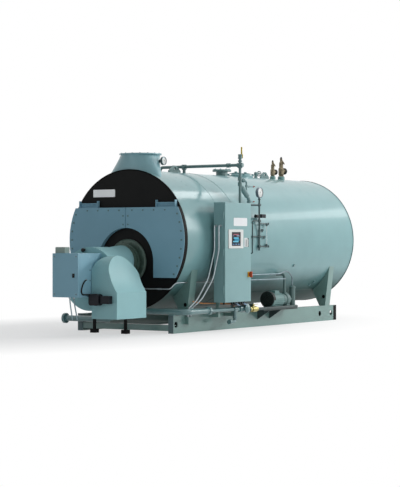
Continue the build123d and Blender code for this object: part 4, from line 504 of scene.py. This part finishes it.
# %% Blank label on the panel door
panel_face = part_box("panel_door")[1][0]
plaque("panel_label", "panel_door", (panel_face, 0.929, 1.601), (panel_face + 0.002, 1.321, 1.725),
       "x", label_sheet, corner=0.016)

# %% [markdown]
# The touch screen glows a little, so its picture is partly light. Plain blocks of colour stand for
# its readings: a red bar, a few blue fields and three buttons, each worked out from position.

# %% Screen finish
def lit_screen(low_y, high_y, low_z, high_z):
    finish = Finish("lit_screen")
    _, y, z = axes(finish)
    across = (y - low_y) / (high_y - low_y)
    rise = (z - low_z) / (high_z - low_z)

    def area(left, bottom, width, height):
        column = across.above(left) * across.below(left + width)
        return column * rise.above(bottom) * rise.below(bottom + height)

    fields = [
        ((0.18, 0.80, 0.60, 0.05), paint(168, 84, 100)),
        ((0.10, 0.70, 0.16, 0.05), paint(110, 120, 150)),
        ((0.56, 0.70, 0.30, 0.05), paint(150, 170, 200)),
        ((0.22, 0.50, 0.56, 0.12), paint(84, 176, 206)),
        ((0.30, 0.36, 0.56, 0.16), paint(44, 128, 160)),
        ((0.14, 0.26, 0.62, 0.10), paint(110, 190, 214)),
    ]
    fields += [((0.08 + 0.30 * button, 0.07, 0.22, 0.09), paint(96, 130, 160)) for button in range(3)]
    picture = finish.blend(rise, paint(10, 14, 28), paint(20, 12, 22))
    for place, colour in fields:
        picture = finish.blend(area(*place), picture, colour)
    finish.set(Base_Color=picture, Emission_Color=picture, Emission_Strength=0.12, Roughness=0.45,
               Specular_IOR_Level=0.15)
    return finish.material


bezel_low, bezel_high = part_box("screen_bezel")
margin_y = 0.085
margin_z = 0.039
recess = 0.004
screen_low = (bezel_high[0] - recess, bezel_low[1] + margin_y, bezel_low[2] + margin_z)
screen_high = (bezel_high[0] - 0.001, bezel_high[1] - margin_y, bezel_high[2] - margin_z)
screen = bmesh.new()
block(screen, screen_low, screen_high, 0.0006)
piece("touch_screen", "panel_door",
      lit_screen(screen_low[1], screen_high[1], screen_low[2], screen_high[2]), screen)

# %% Latch plate on the panel door, with a strip of painted shadow beside it
plaque("latch_plate", "panel_door", (panel_face, 1.240, 1.282), (panel_face + 0.003, 1.328, 1.420),
       "x", label_sheet, corner=0.006)
# Painted shadow: a thin black bar at the plate's right edge stands in for the shade of its recess.
strip = bmesh.new()
block(strip, (panel_face, 1.331, 1.284), (panel_face + 0.012, 1.350, 1.416), 0.003)
piece("latch_shadow_strip", "panel_door", black_plastic, strip)

# %% [markdown]
# The gauges are round cases with a white card, black marks and a pointer under glass. The marks are
# small raised bars turned about the centre, so they stay sharp however close the camera comes.

# %% Dial cards
def place_at(shape, corners, spot, turn):
    placed = Matrix.Translation(spot) @ Matrix.Rotation(turn, 4, "X")
    bmesh.ops.transform(shape, verts=corners, matrix=placed)


def dial(name, centre, radius, pointer, marks=25):
    card = bmesh.new()
    disc(card, centre, right, radius, 0.0012, sides=48, edge=0.0004)
    piece(name + "_card", "boiler", pale_plastic, card)
    ink = bmesh.new()
    top = Vector(centre) + Vector((0.0012, 0, 0))
    for mark in range(marks):
        turn = math.radians(-135 + 270 * mark / (marks - 1))
        long = radius * (0.16 if mark % 4 == 0 else 0.09)
        half = radius * 0.012
        middle = radius * 0.78
        bar = block(ink, (0, -half, middle - long / 2), (0.0006, half, middle + long / 2))
        place_at(ink, bar, top, turn)
    hand = block(ink, (0.0008, -radius * 0.02, -radius * 0.2), (0.0016, radius * 0.02, radius * 0.66))
    place_at(ink, hand, top, math.radians(pointer))
    disc(ink, top + Vector((0.0008, 0, 0)), right, radius * 0.09, 0.0016, sides=20, edge=0.0004)
    piece(name + "_marks", "boiler", black_plastic, ink)
    ring = bmesh.new()
    disc(ring, centre, right, radius * 1.04, 0.0072, sides=48, edge=0.001)
    inner = [f for f in ring.faces if f.normal.x > 0.99]
    bmesh.ops.inset_region(ring, faces=inner, thickness=radius * 0.07)
    bmesh.ops.delete(ring, geom=inner, context="FACES")
    piece(name + "_ring", "boiler", worn_zinc, ring)


case_depth = 0.006
gauge_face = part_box("pressure_gauge")[1][0] - case_depth
dial("pressure_dial", (gauge_face, 2.043, 2.140), 0.075, -40)
thermometer_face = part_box("stack_thermometer")[1][0] - case_depth
dial("stack_dial", (thermometer_face, 0.322, 2.586), 0.056, 25)

# %% [markdown]
# Flanges are pulled together by rings of bolts. One helper places a bolt ring about any axis, and
# the burner, the stack, the steam outlet, the rear cover and the gas inlet use it with their own
# sizes.

# %% Bolt rings
def bolt_ring(shape, centre, axis, radius, count, size):
    turned = facing(axis)
    for place in range(count):
        turn = math.radians(360 / count / 2) + 2 * math.pi * place / count
        spot = Vector(centre) + turned @ Vector((math.cos(turn) * radius, math.sin(turn) * radius, 0))
        hex_bolt(shape, spot, axis, size)


tube_axis_z = 1.062
rear = (0, 1, 0)
left = (-1, 0, 0)
rings = (
    ("burner_flange_bolts", (0, -0.040, tube_axis_z), front, 0.295, 12, 0.014, tube_enamel, "burner_paint"),
    ("blast_tube_bolts", (0, -0.120, tube_axis_z), front, 0.261, 16, 0.009, tube_enamel, "burner_paint"),
    ("stack_rim_bolts", (0, 0.322, 2.706), up, 0.309, 16, 0.009, shell_enamel, "shell_paint"),
    ("steam_flange_bolts", (0, 2.650, 2.556), up, 0.126, 8, 0.014, shell_enamel, "shell_paint"),
    ("rear_cover_bolts", (0, 5.345, axis_z), rear, 0.805, 28, 0.015, shell_enamel, "shell_paint"),
    ("gas_flange_bolts", (-1.063, -0.200, 0.188), left, 0.061, 4, 0.010, pipe_enamel, "pipe_paint"),
)
for name, centre, axis, radius, count, size, finish, slot_name in rings:
    bolts = bmesh.new()
    bolt_ring(bolts, centre, axis, radius, count, size)
    piece(name, "boiler", finish, bolts)

# %% [markdown]
# The burner's control box has a slotted latch at each corner of its face, two plugs on its side
# and a square lock. The lid's shadow line is already in the solid, so only the small hardware is
# added. A black knob stands near the top of the fan drum.

# %% Control box hardware
box_low, box_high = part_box("burner_control_box")
inset_x = 0.035
inset_z = 0.045
face_top = 1.193
hardware = bmesh.new()
for x in (box_low[0] + inset_x, box_high[0] - inset_x):
    for z in (box_low[2] + inset_z, face_top - inset_z):
        disc(hardware, (x, box_low[1], z), front, 0.012, 0.004, sides=24, edge=0.001)
        slot_low = (x - 0.0015, box_low[1] - 0.0055, z - 0.008)
        slot_high = (x + 0.0015, box_low[1] - 0.003, z + 0.008)
        block(hardware, slot_low, slot_high, 0.0004)
for z in (0.80, 0.95):
    disc(hardware, (box_high[0], -1.25, z), right, 0.010, 0.004, sides=20, edge=0.001)
piece("control_box_latches", "boiler", worn_zinc, hardware)

latch = bmesh.new()
block(latch, (0.120, box_low[1] - 0.010, 0.845), (0.160, box_low[1], 0.905), 0.004, 3)
disc(latch, (0.140, box_low[1] - 0.010, 0.875), front, 0.011, 0.006, sides=24, edge=0.002)
piece("control_box_lock", "boiler", black_plastic, latch)

# %% Knob near the top of the fan drum
knob_x = -0.092
knob_z = 1.238
knob = bmesh.new()
disc(knob, (knob_x, -0.972, knob_z), front, 0.020, 0.026, sides=32, edge=0.004)
disc(knob, (knob_x, -0.998, knob_z), front, 0.029, 0.020, sides=24, edge=0.006)
piece("drum_knob", "boiler", black_plastic, knob)

# %% [markdown]
# Sheet-metal covers are held by rows of small screws. The air hood and the damper's motor get
# theirs here, because a screw row is what tells the eye how big a plain sheet is.

# %% Screw rows
def screw_row(shape, start, end, count, axis, size):
    for place in range(count):
        share = place / (count - 1)
        cap_screw(shape, Vector(start).lerp(Vector(end), share), axis, size)


hood_low, hood_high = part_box("air_inlet_hood")
hood_front = hood_low[1]
hood_side = hood_high[0]
inner_x = hood_low[0] + 0.02
outer_x = hood_side - 0.02
rows = (
    ((inner_x, hood_front, 0.30), (inner_x, hood_front, 0.42), 2, front),
    ((outer_x, hood_front, 0.29), (outer_x, hood_front, 0.58), 4, front),
    ((0.30, hood_front, 0.272), (0.62, hood_front, 0.272), 4, front),
    ((hood_side, -1.18, 0.275), (hood_side, -0.55, 0.275), 6, right),
)
hood_screws = bmesh.new()
for start, end, count, axis in rows:
    screw_row(hood_screws, start, end, count, axis, 0.006)
piece("air_hood_screws", "boiler", burner_enamel, hood_screws)

actuator_screws = bmesh.new()
actuator_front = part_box("damper_actuator")[0][1]
gearbox_front = actuator_front + 0.026
for x in (0.280, 0.404):
    for z in (0.478, 0.578):
        cap_screw(actuator_screws, (x, actuator_front, z), front, 0.007)
for x in (0.465, 0.580):
    for z in (0.485, 0.571):
        cap_screw(actuator_screws, (x, gearbox_front, z), front, 0.005)
piece("actuator_screws", "boiler", dark_iron, actuator_screws)

# %% [markdown]
# The jacket is rolled sheet, lapped and riveted. Two rings of rivets run round the drum, one on its
# raised band, 1.5 m from the front, and one 0.6 m from the front. Each is a low dome with few faces.

# %% Jacket rivets
rivet_size = 0.006
rivets = bmesh.new()
for y, start, reach in ((1.515, 0, shell_radius + 0.0024), (0.575, 3, shell_radius)):
    for place in range(60):
        turn = math.radians(6 * place + start)
        outward = Vector((math.sin(turn), 0, math.cos(turn)))
        spot = Vector((0, y, axis_z)) + outward * reach
        disc(rivets, spot, outward, rivet_size, rivet_size * 0.5, sides=10, top=rivet_size * 0.55)
piece("jacket_rivets", "boiler", shell_enamel, rivets)

# %% [markdown]
# The smokebox ends in a thin black ring round the front plate. A torus would give it a round
# section, and the real one is flat, so a small rectangle is spun once round the drum's axis.

# %% Smokebox trim: a black edge band at the front
def ring_profile(inner, outer, low, high):
    return [(inner, low), (outer, low), (outer, high), (inner, high)]


band = bmesh.new()
outline = ring_profile(shell_radius - 0.012, shell_radius + 0.003, 0.0, 0.020)
corners = [band.verts.new((r, y, 0)) for r, y in outline]
edges = [band.edges.new((corners[i], corners[(i + 1) % 4])) for i in range(4)]
bmesh.ops.spin(band, geom=corners + edges, cent=(0, 0, 0), axis=rear, angle=2 * math.pi, steps=128,
               use_merge=True)
bmesh.ops.translate(band, verts=band.verts, vec=(0, 0, axis_z))
piece("front_edge_band", "boiler", black_heat_paint, band)

# %% [markdown]
# Two thin leads drop from the control box and a cable loops out of its side to the damper's motor.
# They are held at both ends, so a smooth tube along a few points is enough.

# %% Control box leads
def lead(name, points, radius, material):
    curve = bpy.data.curves.new(name, "CURVE")
    curve.dimensions = "3D"
    line = curve.splines.new("NURBS")
    line.points.add(len(points) - 1)
    for knot, place in zip(line.points, points):
        knot.co = (*place, 1.0)
    line.order_u = 3
    line.use_endpoint_u = True
    curve.bevel_depth = radius
    curve.bevel_resolution = 3
    curve.use_fill_caps = True
    soft = bpy.data.objects.new(name + "_line", curve)
    bpy.context.collection.objects.link(soft)
    bpy.context.view_layer.update()
    shaped = soft.evaluated_get(bpy.context.evaluated_depsgraph_get())
    mesh = bpy.data.meshes.new_from_object(shaped)
    bpy.data.objects.remove(soft)
    made = bpy.data.objects.new(name, mesh)
    bpy.context.collection.objects.link(made)
    mesh.materials.clear()
    mesh.materials.append(material)
    for face in mesh.polygons:
        face.use_smooth = True
    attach(made, "boiler")
    length = sum((Vector(b) - Vector(a)).length for a, b in zip(points, points[1:]))
    print(name, "length along its points:", round(length, 2), "m")


left_run = [(0.012, -1.45, 0.566), (0.012, -1.45, 0.50), (0.05, -1.45, 0.30), (0.06, -1.45, 0.236)]
right_run = [(0.055, -1.41, 0.566), (0.055, -1.41, 0.50), (0.105, -1.41, 0.30), (0.115, -1.41, 0.232)]
lead("box_drop_left", left_run, 0.009, worn_zinc)
lead("box_drop_right", right_run, 0.009, worn_zinc)
side_x = box_high[0] + 0.010
side_run = [(side_x, -1.352, 0.812), (side_x, -1.40, 0.79), (side_x, -1.452, 0.71),
            (side_x, -1.468, 0.64), (side_x, -1.44, 0.60), (side_x + 0.02, -1.36, 0.60),
            (side_x + 0.04, -1.27, 0.60)]
lead("box_side_cable", side_run, 0.010, black_plastic)

# %% Ends of the leads
glands = bmesh.new()
for x, y, _ in (left_run[0], right_run[0]):
    disc(glands, (x, y, 0.562), down, 0.017, 0.022, sides=6, edge=0.002)
disc(glands, (box_high[0], -1.352, 0.812), right, 0.016, 0.018, sides=6, edge=0.002)
piece("lead_glands", "boiler", zinc, glands)

# %% [markdown]
# The door's edge and the front plate's rim read as one black ring. A thin black strip wraps each
# door's outer edge as painted shade of that edge. It is swept from a small profile of radius and place
# along the drum.

# %% Black edge of the doors, as painted shade
def swept_strip(name, profile, start, end, steps, material):
    strip = bmesh.new()
    corners = [strip.verts.new((r, y, 0)) for r, y in profile]
    count = len(corners)
    edges = [strip.edges.new((corners[i], corners[(i + 1) % count])) for i in range(count)]
    first = strip.faces.new(corners)
    turn = Matrix.Rotation(-start, 4, "Y")
    bmesh.ops.transform(strip, verts=strip.verts, matrix=turn)
    bmesh.ops.spin(strip, geom=[first] + edges + corners, cent=(0, 0, 0), axis=front,
                   angle=end - start, steps=steps, use_merge=False)
    bmesh.ops.translate(strip, verts=strip.verts, vec=(0, 0, axis_z))
    bmesh.ops.remove_doubles(strip, verts=strip.verts, dist=1e-6)
    piece(name, "boiler", material, strip)


low_turn = math.asin((0.826 - axis_z) / shell_radius)
high_turn = math.asin((1.876 - axis_z) / shell_radius)
edge_shade_profile = ring_profile(shell_radius - 0.001, shell_radius + 0.003, -0.060, -0.001)
for name, start, end in (("door_rope_right", low_turn, high_turn),
                         ("door_rope_left", math.pi - high_turn, math.pi - low_turn)):
    swept_strip(name, edge_shade_profile, start, end, 40, black_heat_paint)

# %% [markdown]
# The jacket has a lap low on its side, a lap round it near the front, and a thin dark gasket at
# the rear head. They are only a few millimetres proud, but catch the light along their length.

# %% Jacket laps
lap = bmesh.new()
turn = math.radians(-52)
outward = Vector((math.cos(turn), 0, math.sin(turn)))
middle = outward * (shell_radius + 0.001) + Vector((0, 3.35, axis_z))
block(lap, (-0.002, -1.83, -0.016), (0.002, 1.83, 0.016), 0.001)
placed = Matrix.Translation(middle) @ Matrix.Rotation(-turn, 4, "Y")
bmesh.ops.transform(lap, verts=lap.verts, matrix=placed)
piece("jacket_lap", "boiler", shell_enamel, lap)

nearly_round = 1.999 * math.pi
gasket = ring_profile(shell_radius + 0.003, shell_radius + 0.0055, 5.278, 5.286)
swept_strip("rear_gasket", gasket, 0.0, nearly_round, 160, black_heat_paint)
lap_low = shell_radius - 0.001
lap_high = shell_radius + 0.002
lap_ring = [(lap_low, 1.020), (lap_high, 1.022), (lap_high, 1.046), (lap_low, 1.048)]
swept_strip("first_lap_ring", lap_ring, 0.0, nearly_round, 160, shell_enamel)

# %% [markdown]
# The rails are closed at the rear by black plates, and the right one also shows a black edge on its
# side. A copper tube runs low behind the panel.

# %% Rail end plates and the copper tube
for side, name in ((-1, "rail_plate_left"), (1, "rail_plate_right")):
    low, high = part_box("skid_rail_right" if side > 0 else "skid_rail_left")
    outer_x, rear_y, top_z = high
    plate = bmesh.new()
    block(plate, (low[0] + 0.002, rear_y, 0.004), (outer_x - 0.001, rear_y + 0.012, top_z - 0.002), 0.003)
    if side > 0:
        edge_low = (outer_x, rear_y - 0.095, 0.004)
        edge_high = (outer_x + 0.002, rear_y + 0.010, top_z - 0.003)
        block(plate, edge_low, edge_high, 0.0008)
    piece(name, "boiler", black_heat_paint, plate)

tube_run = [(0.904, 0.40, 0.46), (0.935, 0.40, 0.46), (0.985, 0.52, 0.432), (1.00, 0.70, 0.428),
            (1.00, 1.08, 0.414), (1.02, 1.19, 0.408), (1.118, 1.22, 0.400), (1.118, 1.235, 0.372),
            (1.118, 1.235, 0.350)]
lead("copper_tube", tube_run, 0.010, copper)

# %% [markdown]
# The level switch on the water column has a black head at each end. One is in the solids, and the
# other, which faces the front, is added here with its hexagon.

# %% Second head of the level switch
probe_low, probe_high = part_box("level_probe")
column_x = (probe_low[0] + probe_high[0]) / 2
head_z = 1.765
head = bmesh.new()
disc(head, (column_x, 1.926, head_z), rear, 0.027, 0.066, sides=28, edge=0.004)
disc(head, (column_x, 1.990, head_z), rear, 0.015, 0.040, sides=6, edge=0.002)
piece("level_switch_head", "boiler", black_plastic, head)

# %% [markdown]
# The pump motor's fan cover is a plate with four hoops, eight spokes and a hub, inside a short dark
# sleeve. It is built flat about the fan's own axis and then stood up to face the front.

# %% Fan grille on the pump motor
motor_low, motor_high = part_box("pump_motor")
fan_centre = Vector(((motor_low[0] + motor_high[0]) / 2, motor_low[1], 0.440))


def fan_place(forward):
    return Matrix.Translation(fan_centre - Vector((0, forward, 0))) @ facing(front)


def hoop(shape, radius, depth, forward, sides):
    made = bmesh.ops.create_cone(shape, cap_ends=False, segments=sides, radius1=radius, radius2=radius,
                                 depth=depth)
    bmesh.ops.transform(shape, verts=made["verts"], matrix=fan_place(forward))


grille = bmesh.new()
disc(grille, fan_centre, front, 0.127, 0.004, sides=48, edge=0.0015)
for hoop_radius in (0.118, 0.094, 0.070, 0.046):
    hoop(grille, hoop_radius, 0.008, 0.006, 48)
disc(grille, fan_centre - Vector((0, 0.003, 0)), front, 0.022, 0.010, sides=32, edge=0.003)
for spoke in range(8):
    bar = block(grille, (0.020, -0.0035, 0.0), (0.120, 0.0035, 0.006))
    turned = fan_place(0.003) @ Matrix.Rotation(math.radians(45 * spoke), 4, "Z")
    bmesh.ops.transform(grille, verts=bar, matrix=turned)
hoop(grille, 0.1292, 0.062, -0.031, 64)
piece("pump_fan_grille", "boiler", fan_black, grille)

# %% [markdown]
# The holes in the saddles and rails look black in the picture, because nothing behind them is lit. A
# black cup behind each hole is painted shade that keeps it dark from every side. Its wall is one open
# line, spun into a tube with a thickness, and the two round gaps that are left become its floor.

# %% Black cups behind the holes in the saddles and rails, as painted shade
def shade_cup(shape, centre, axis, radius, depth, wall=0.004):
    count = len(shape.verts)
    outer = radius + wall
    outline = ((radius, depth - wall), (radius, 0), (outer, 0), (outer, depth))
    knots = [shape.verts.new((reach, 0, height)) for reach, height in outline]
    line = [shape.edges.new(pair) for pair in zip(knots, knots[1:])]
    bmesh.ops.spin(shape, geom=knots + line, cent=(0, 0, 0), axis=up, angle=2 * math.pi, steps=36,
                   use_merge=True)
    bmesh.ops.holes_fill(shape, edges=[e for e in shape.edges if e.is_boundary], sides=0)
    shape.verts.ensure_lookup_table()
    placed = Matrix.Translation(Vector(centre)) @ facing(axis)
    bmesh.ops.transform(shape, verts=shape.verts[count:], matrix=placed)


holes = bmesh.new()
for side in (-1, 1):
    for y in (0.291, 4.609):
        shade_cup(holes, (side * 0.848, y, 0.415), rear, 0.032, 0.045)
    for y in (-0.020, 4.400):
        shade_cup(holes, (side * 0.874, y, 0.131), (-side, 0, 0), 0.045, 0.050)
piece("hole_shade_cups", "boiler", black_heat_paint, holes)

# %% [markdown]
# Seven glands hang under the panel. Six of them let out short cables that run to the fittings
# behind, so every third one is made pale blue, as the picture has a few pale ones among the black.

# %% Cable glands under the panel
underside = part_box("panel_enclosure")[0][2]
gland_x = 1.205
cable_ys = (1.02, 1.09, 1.16, 1.24, 1.31, 1.38)
glands = bmesh.new()
for y in (0.80,) + cable_ys:
    disc(glands, (gland_x, y, underside + 0.001), down, 0.017, 0.014, sides=6, edge=0.002)
    disc(glands, (gland_x, y, underside - 0.013), down, 0.012, 0.020, sides=20, edge=0.003)
piece("panel_glands", "boiler", black_plastic, glands)
for count, y in enumerate(cable_ys):
    low_y = 1.36 + 0.045 * count
    run = [(gland_x, y, underside - 0.02), (gland_x, y, underside - 0.045),
           (1.19, (y + low_y) / 2, underside - 0.058), (1.15, low_y, underside - 0.055),
           (1.118, low_y, 0.380)]
    jacket = blue_fitting if count % 3 == 2 else black_plastic
    lead(f"panel_cable_{count + 1}", run, 0.014, jacket)

# %% [markdown]
# The studio is a very large pale floor under soft lamps. In the picture the floor fades to pure
# white with distance, so a wide ramp blends the lit floor into plain light, and the world is white
# to the camera but gentler to everything else.

# %% Floor
floor_reach = 60.0
floor_mesh = bmesh.new()
bmesh.ops.create_grid(floor_mesh, x_segments=1, y_segments=1, size=floor_reach)
floor_data = bpy.data.meshes.new("studio_floor")
floor_mesh.to_mesh(floor_data)
floor_mesh.free()
floor = bpy.data.objects.new("studio_floor", floor_data)
bpy.context.collection.objects.link(floor)
print("floor reaches", floor_reach, "m each way")

# %% Floor material: lit near the boiler, plain white light farther out
def seen_rays(tree):
    path = tree.nodes.new("ShaderNodeLightPath")
    rays = [Number(tree, path.outputs[f"Is {kind} Ray"]) for kind in ("Camera", "Glossy", "Transmission")]
    return (rays[0] + rays[1] + rays[2]).held()


fade_start = 1.7
fade_width = 1.9
nearest_share = 0.55
pale = Finish("floor_pale")
x, y, _ = axes(pale)
away = ((x + 0.8) ** 2 + ((y - 0.2) * 0.5) ** 2) ** 0.5
ramp = ((away - fade_start) / fade_width).held()
fade = (ramp * (1.0 - nearest_share) + nearest_share) * seen_rays(pale.tree)
pale.set(Base_Color=(0.80, 0.805, 0.81, 1.0), Roughness=0.7, Specular_IOR_Level=0.2)
glow = pale.node("ShaderNodeEmission", Color=(1.0, 1.0, 1.0, 1.0), Strength=1.0)
output = pale.tree.nodes["Material Output"]
mixed = pale.node("ShaderNodeMixShader", i0=fade, i1=pale.surface.outputs[0], i2=glow.outputs[0])
pale.tree.links.new(mixed.outputs[0], output.inputs[0])
floor_data.materials.append(pale.material)
print("floor fades from", fade_start, "to", fade_start + fade_width, "m")

# %% World
world = bpy.data.worlds.new("studio")
bpy.context.scene.world = world
world.use_nodes = True
tree = world.node_tree
tree.nodes.clear()
soft_strength = 0.26
white = tree.nodes.new("ShaderNodeBackground")
white.inputs[0].default_value = (1.0, 1.0, 1.0, 1.0)
white.inputs[1].default_value = 1.0
soft = tree.nodes.new("ShaderNodeBackground")
soft.inputs[0].default_value = (0.93, 0.97, 1.0, 1.0)
soft.inputs[1].default_value = soft_strength
choose = tree.nodes.new("ShaderNodeMixShader")
join(tree, seen_rays(tree), choose.inputs[0])
tree.links.new(soft.outputs[0], choose.inputs[1])
tree.links.new(white.outputs[0], choose.inputs[2])
out = tree.nodes.new("ShaderNodeOutputWorld")
tree.links.new(choose.outputs[0], out.inputs[0])
print("world strength on the object:", soft_strength)

# %% [markdown]
# In the photograph the sides that face right are bright and those that face the front are dark, so
# the main lamp is a large soft one on the right. Two strips beyond the rear draw the long highlight
# on the drum and the one on the smokebox, and weak fills lift the sides that face the front.

# %% Lamps
def lamp(name, place, target, size, power, colour=(1, 1, 1)):
    light = bpy.data.lights.new(name, "AREA")
    light.shape = "RECTANGLE"
    light.size, light.size_y = size
    light.energy = power
    light.color = colour
    made = bpy.data.objects.new(name, light)
    bpy.context.collection.objects.link(made)
    made.location = place
    made.rotation_euler = (Vector(target) - Vector(place)).to_track_quat("-Z", "Y").to_euler()
    print(name, power, "W")


lamp("right_key", (8.6, 8.6, 5.0), (0.8, 2.2, 1.2), (3.6, 3.0), 560)
lamp("overhead", (0.9, 2.6, 7.5), (0, 2.4, 1.2), (4.0, 7.0), 180)
lamp("far_strip", (7.9, 19.6, 8.6), (0.9, 3.0, 1.8), (14.0, 1.8), 190)
lamp("front_strip", (2.7, 20.0, 14.9), (0.8, 0.4, 2.1), (4.0, 1.6), 110)
lamp("side_fill", (9.0, -1.5, 1.8), (0.6, -0.8, 0.9), (3.0, 2.0), 90)
lamp("front_fill", (-3.5, -9.0, 3.5), (0, 0, 1.2), (4.0, 4.0), 34, (0.78, 0.92, 1.0))

# %% [markdown]
# The picture was taken from far off with a long lens, so parallel edges hardly converge. The camera
# stands level and low, 33 degrees round from the front, where the object's own edges place it.

# %% Camera
camera = bpy.data.cameras.new("camera")
camera.lens = 115.26
camera.sensor_width = 36
camera_object = bpy.data.objects.new("camera", camera)
bpy.context.collection.objects.link(camera_object)
camera_object.location = (13.789, -19.168, 1.334)
camera_object.rotation_euler = (math.radians(90), 0, math.radians(33.0943))
camera.clip_end = 200
bpy.context.scene.camera = camera_object
bpy.context.scene.view_settings.view_transform = "Standard"
print("camera lens:", camera.lens, "mm")
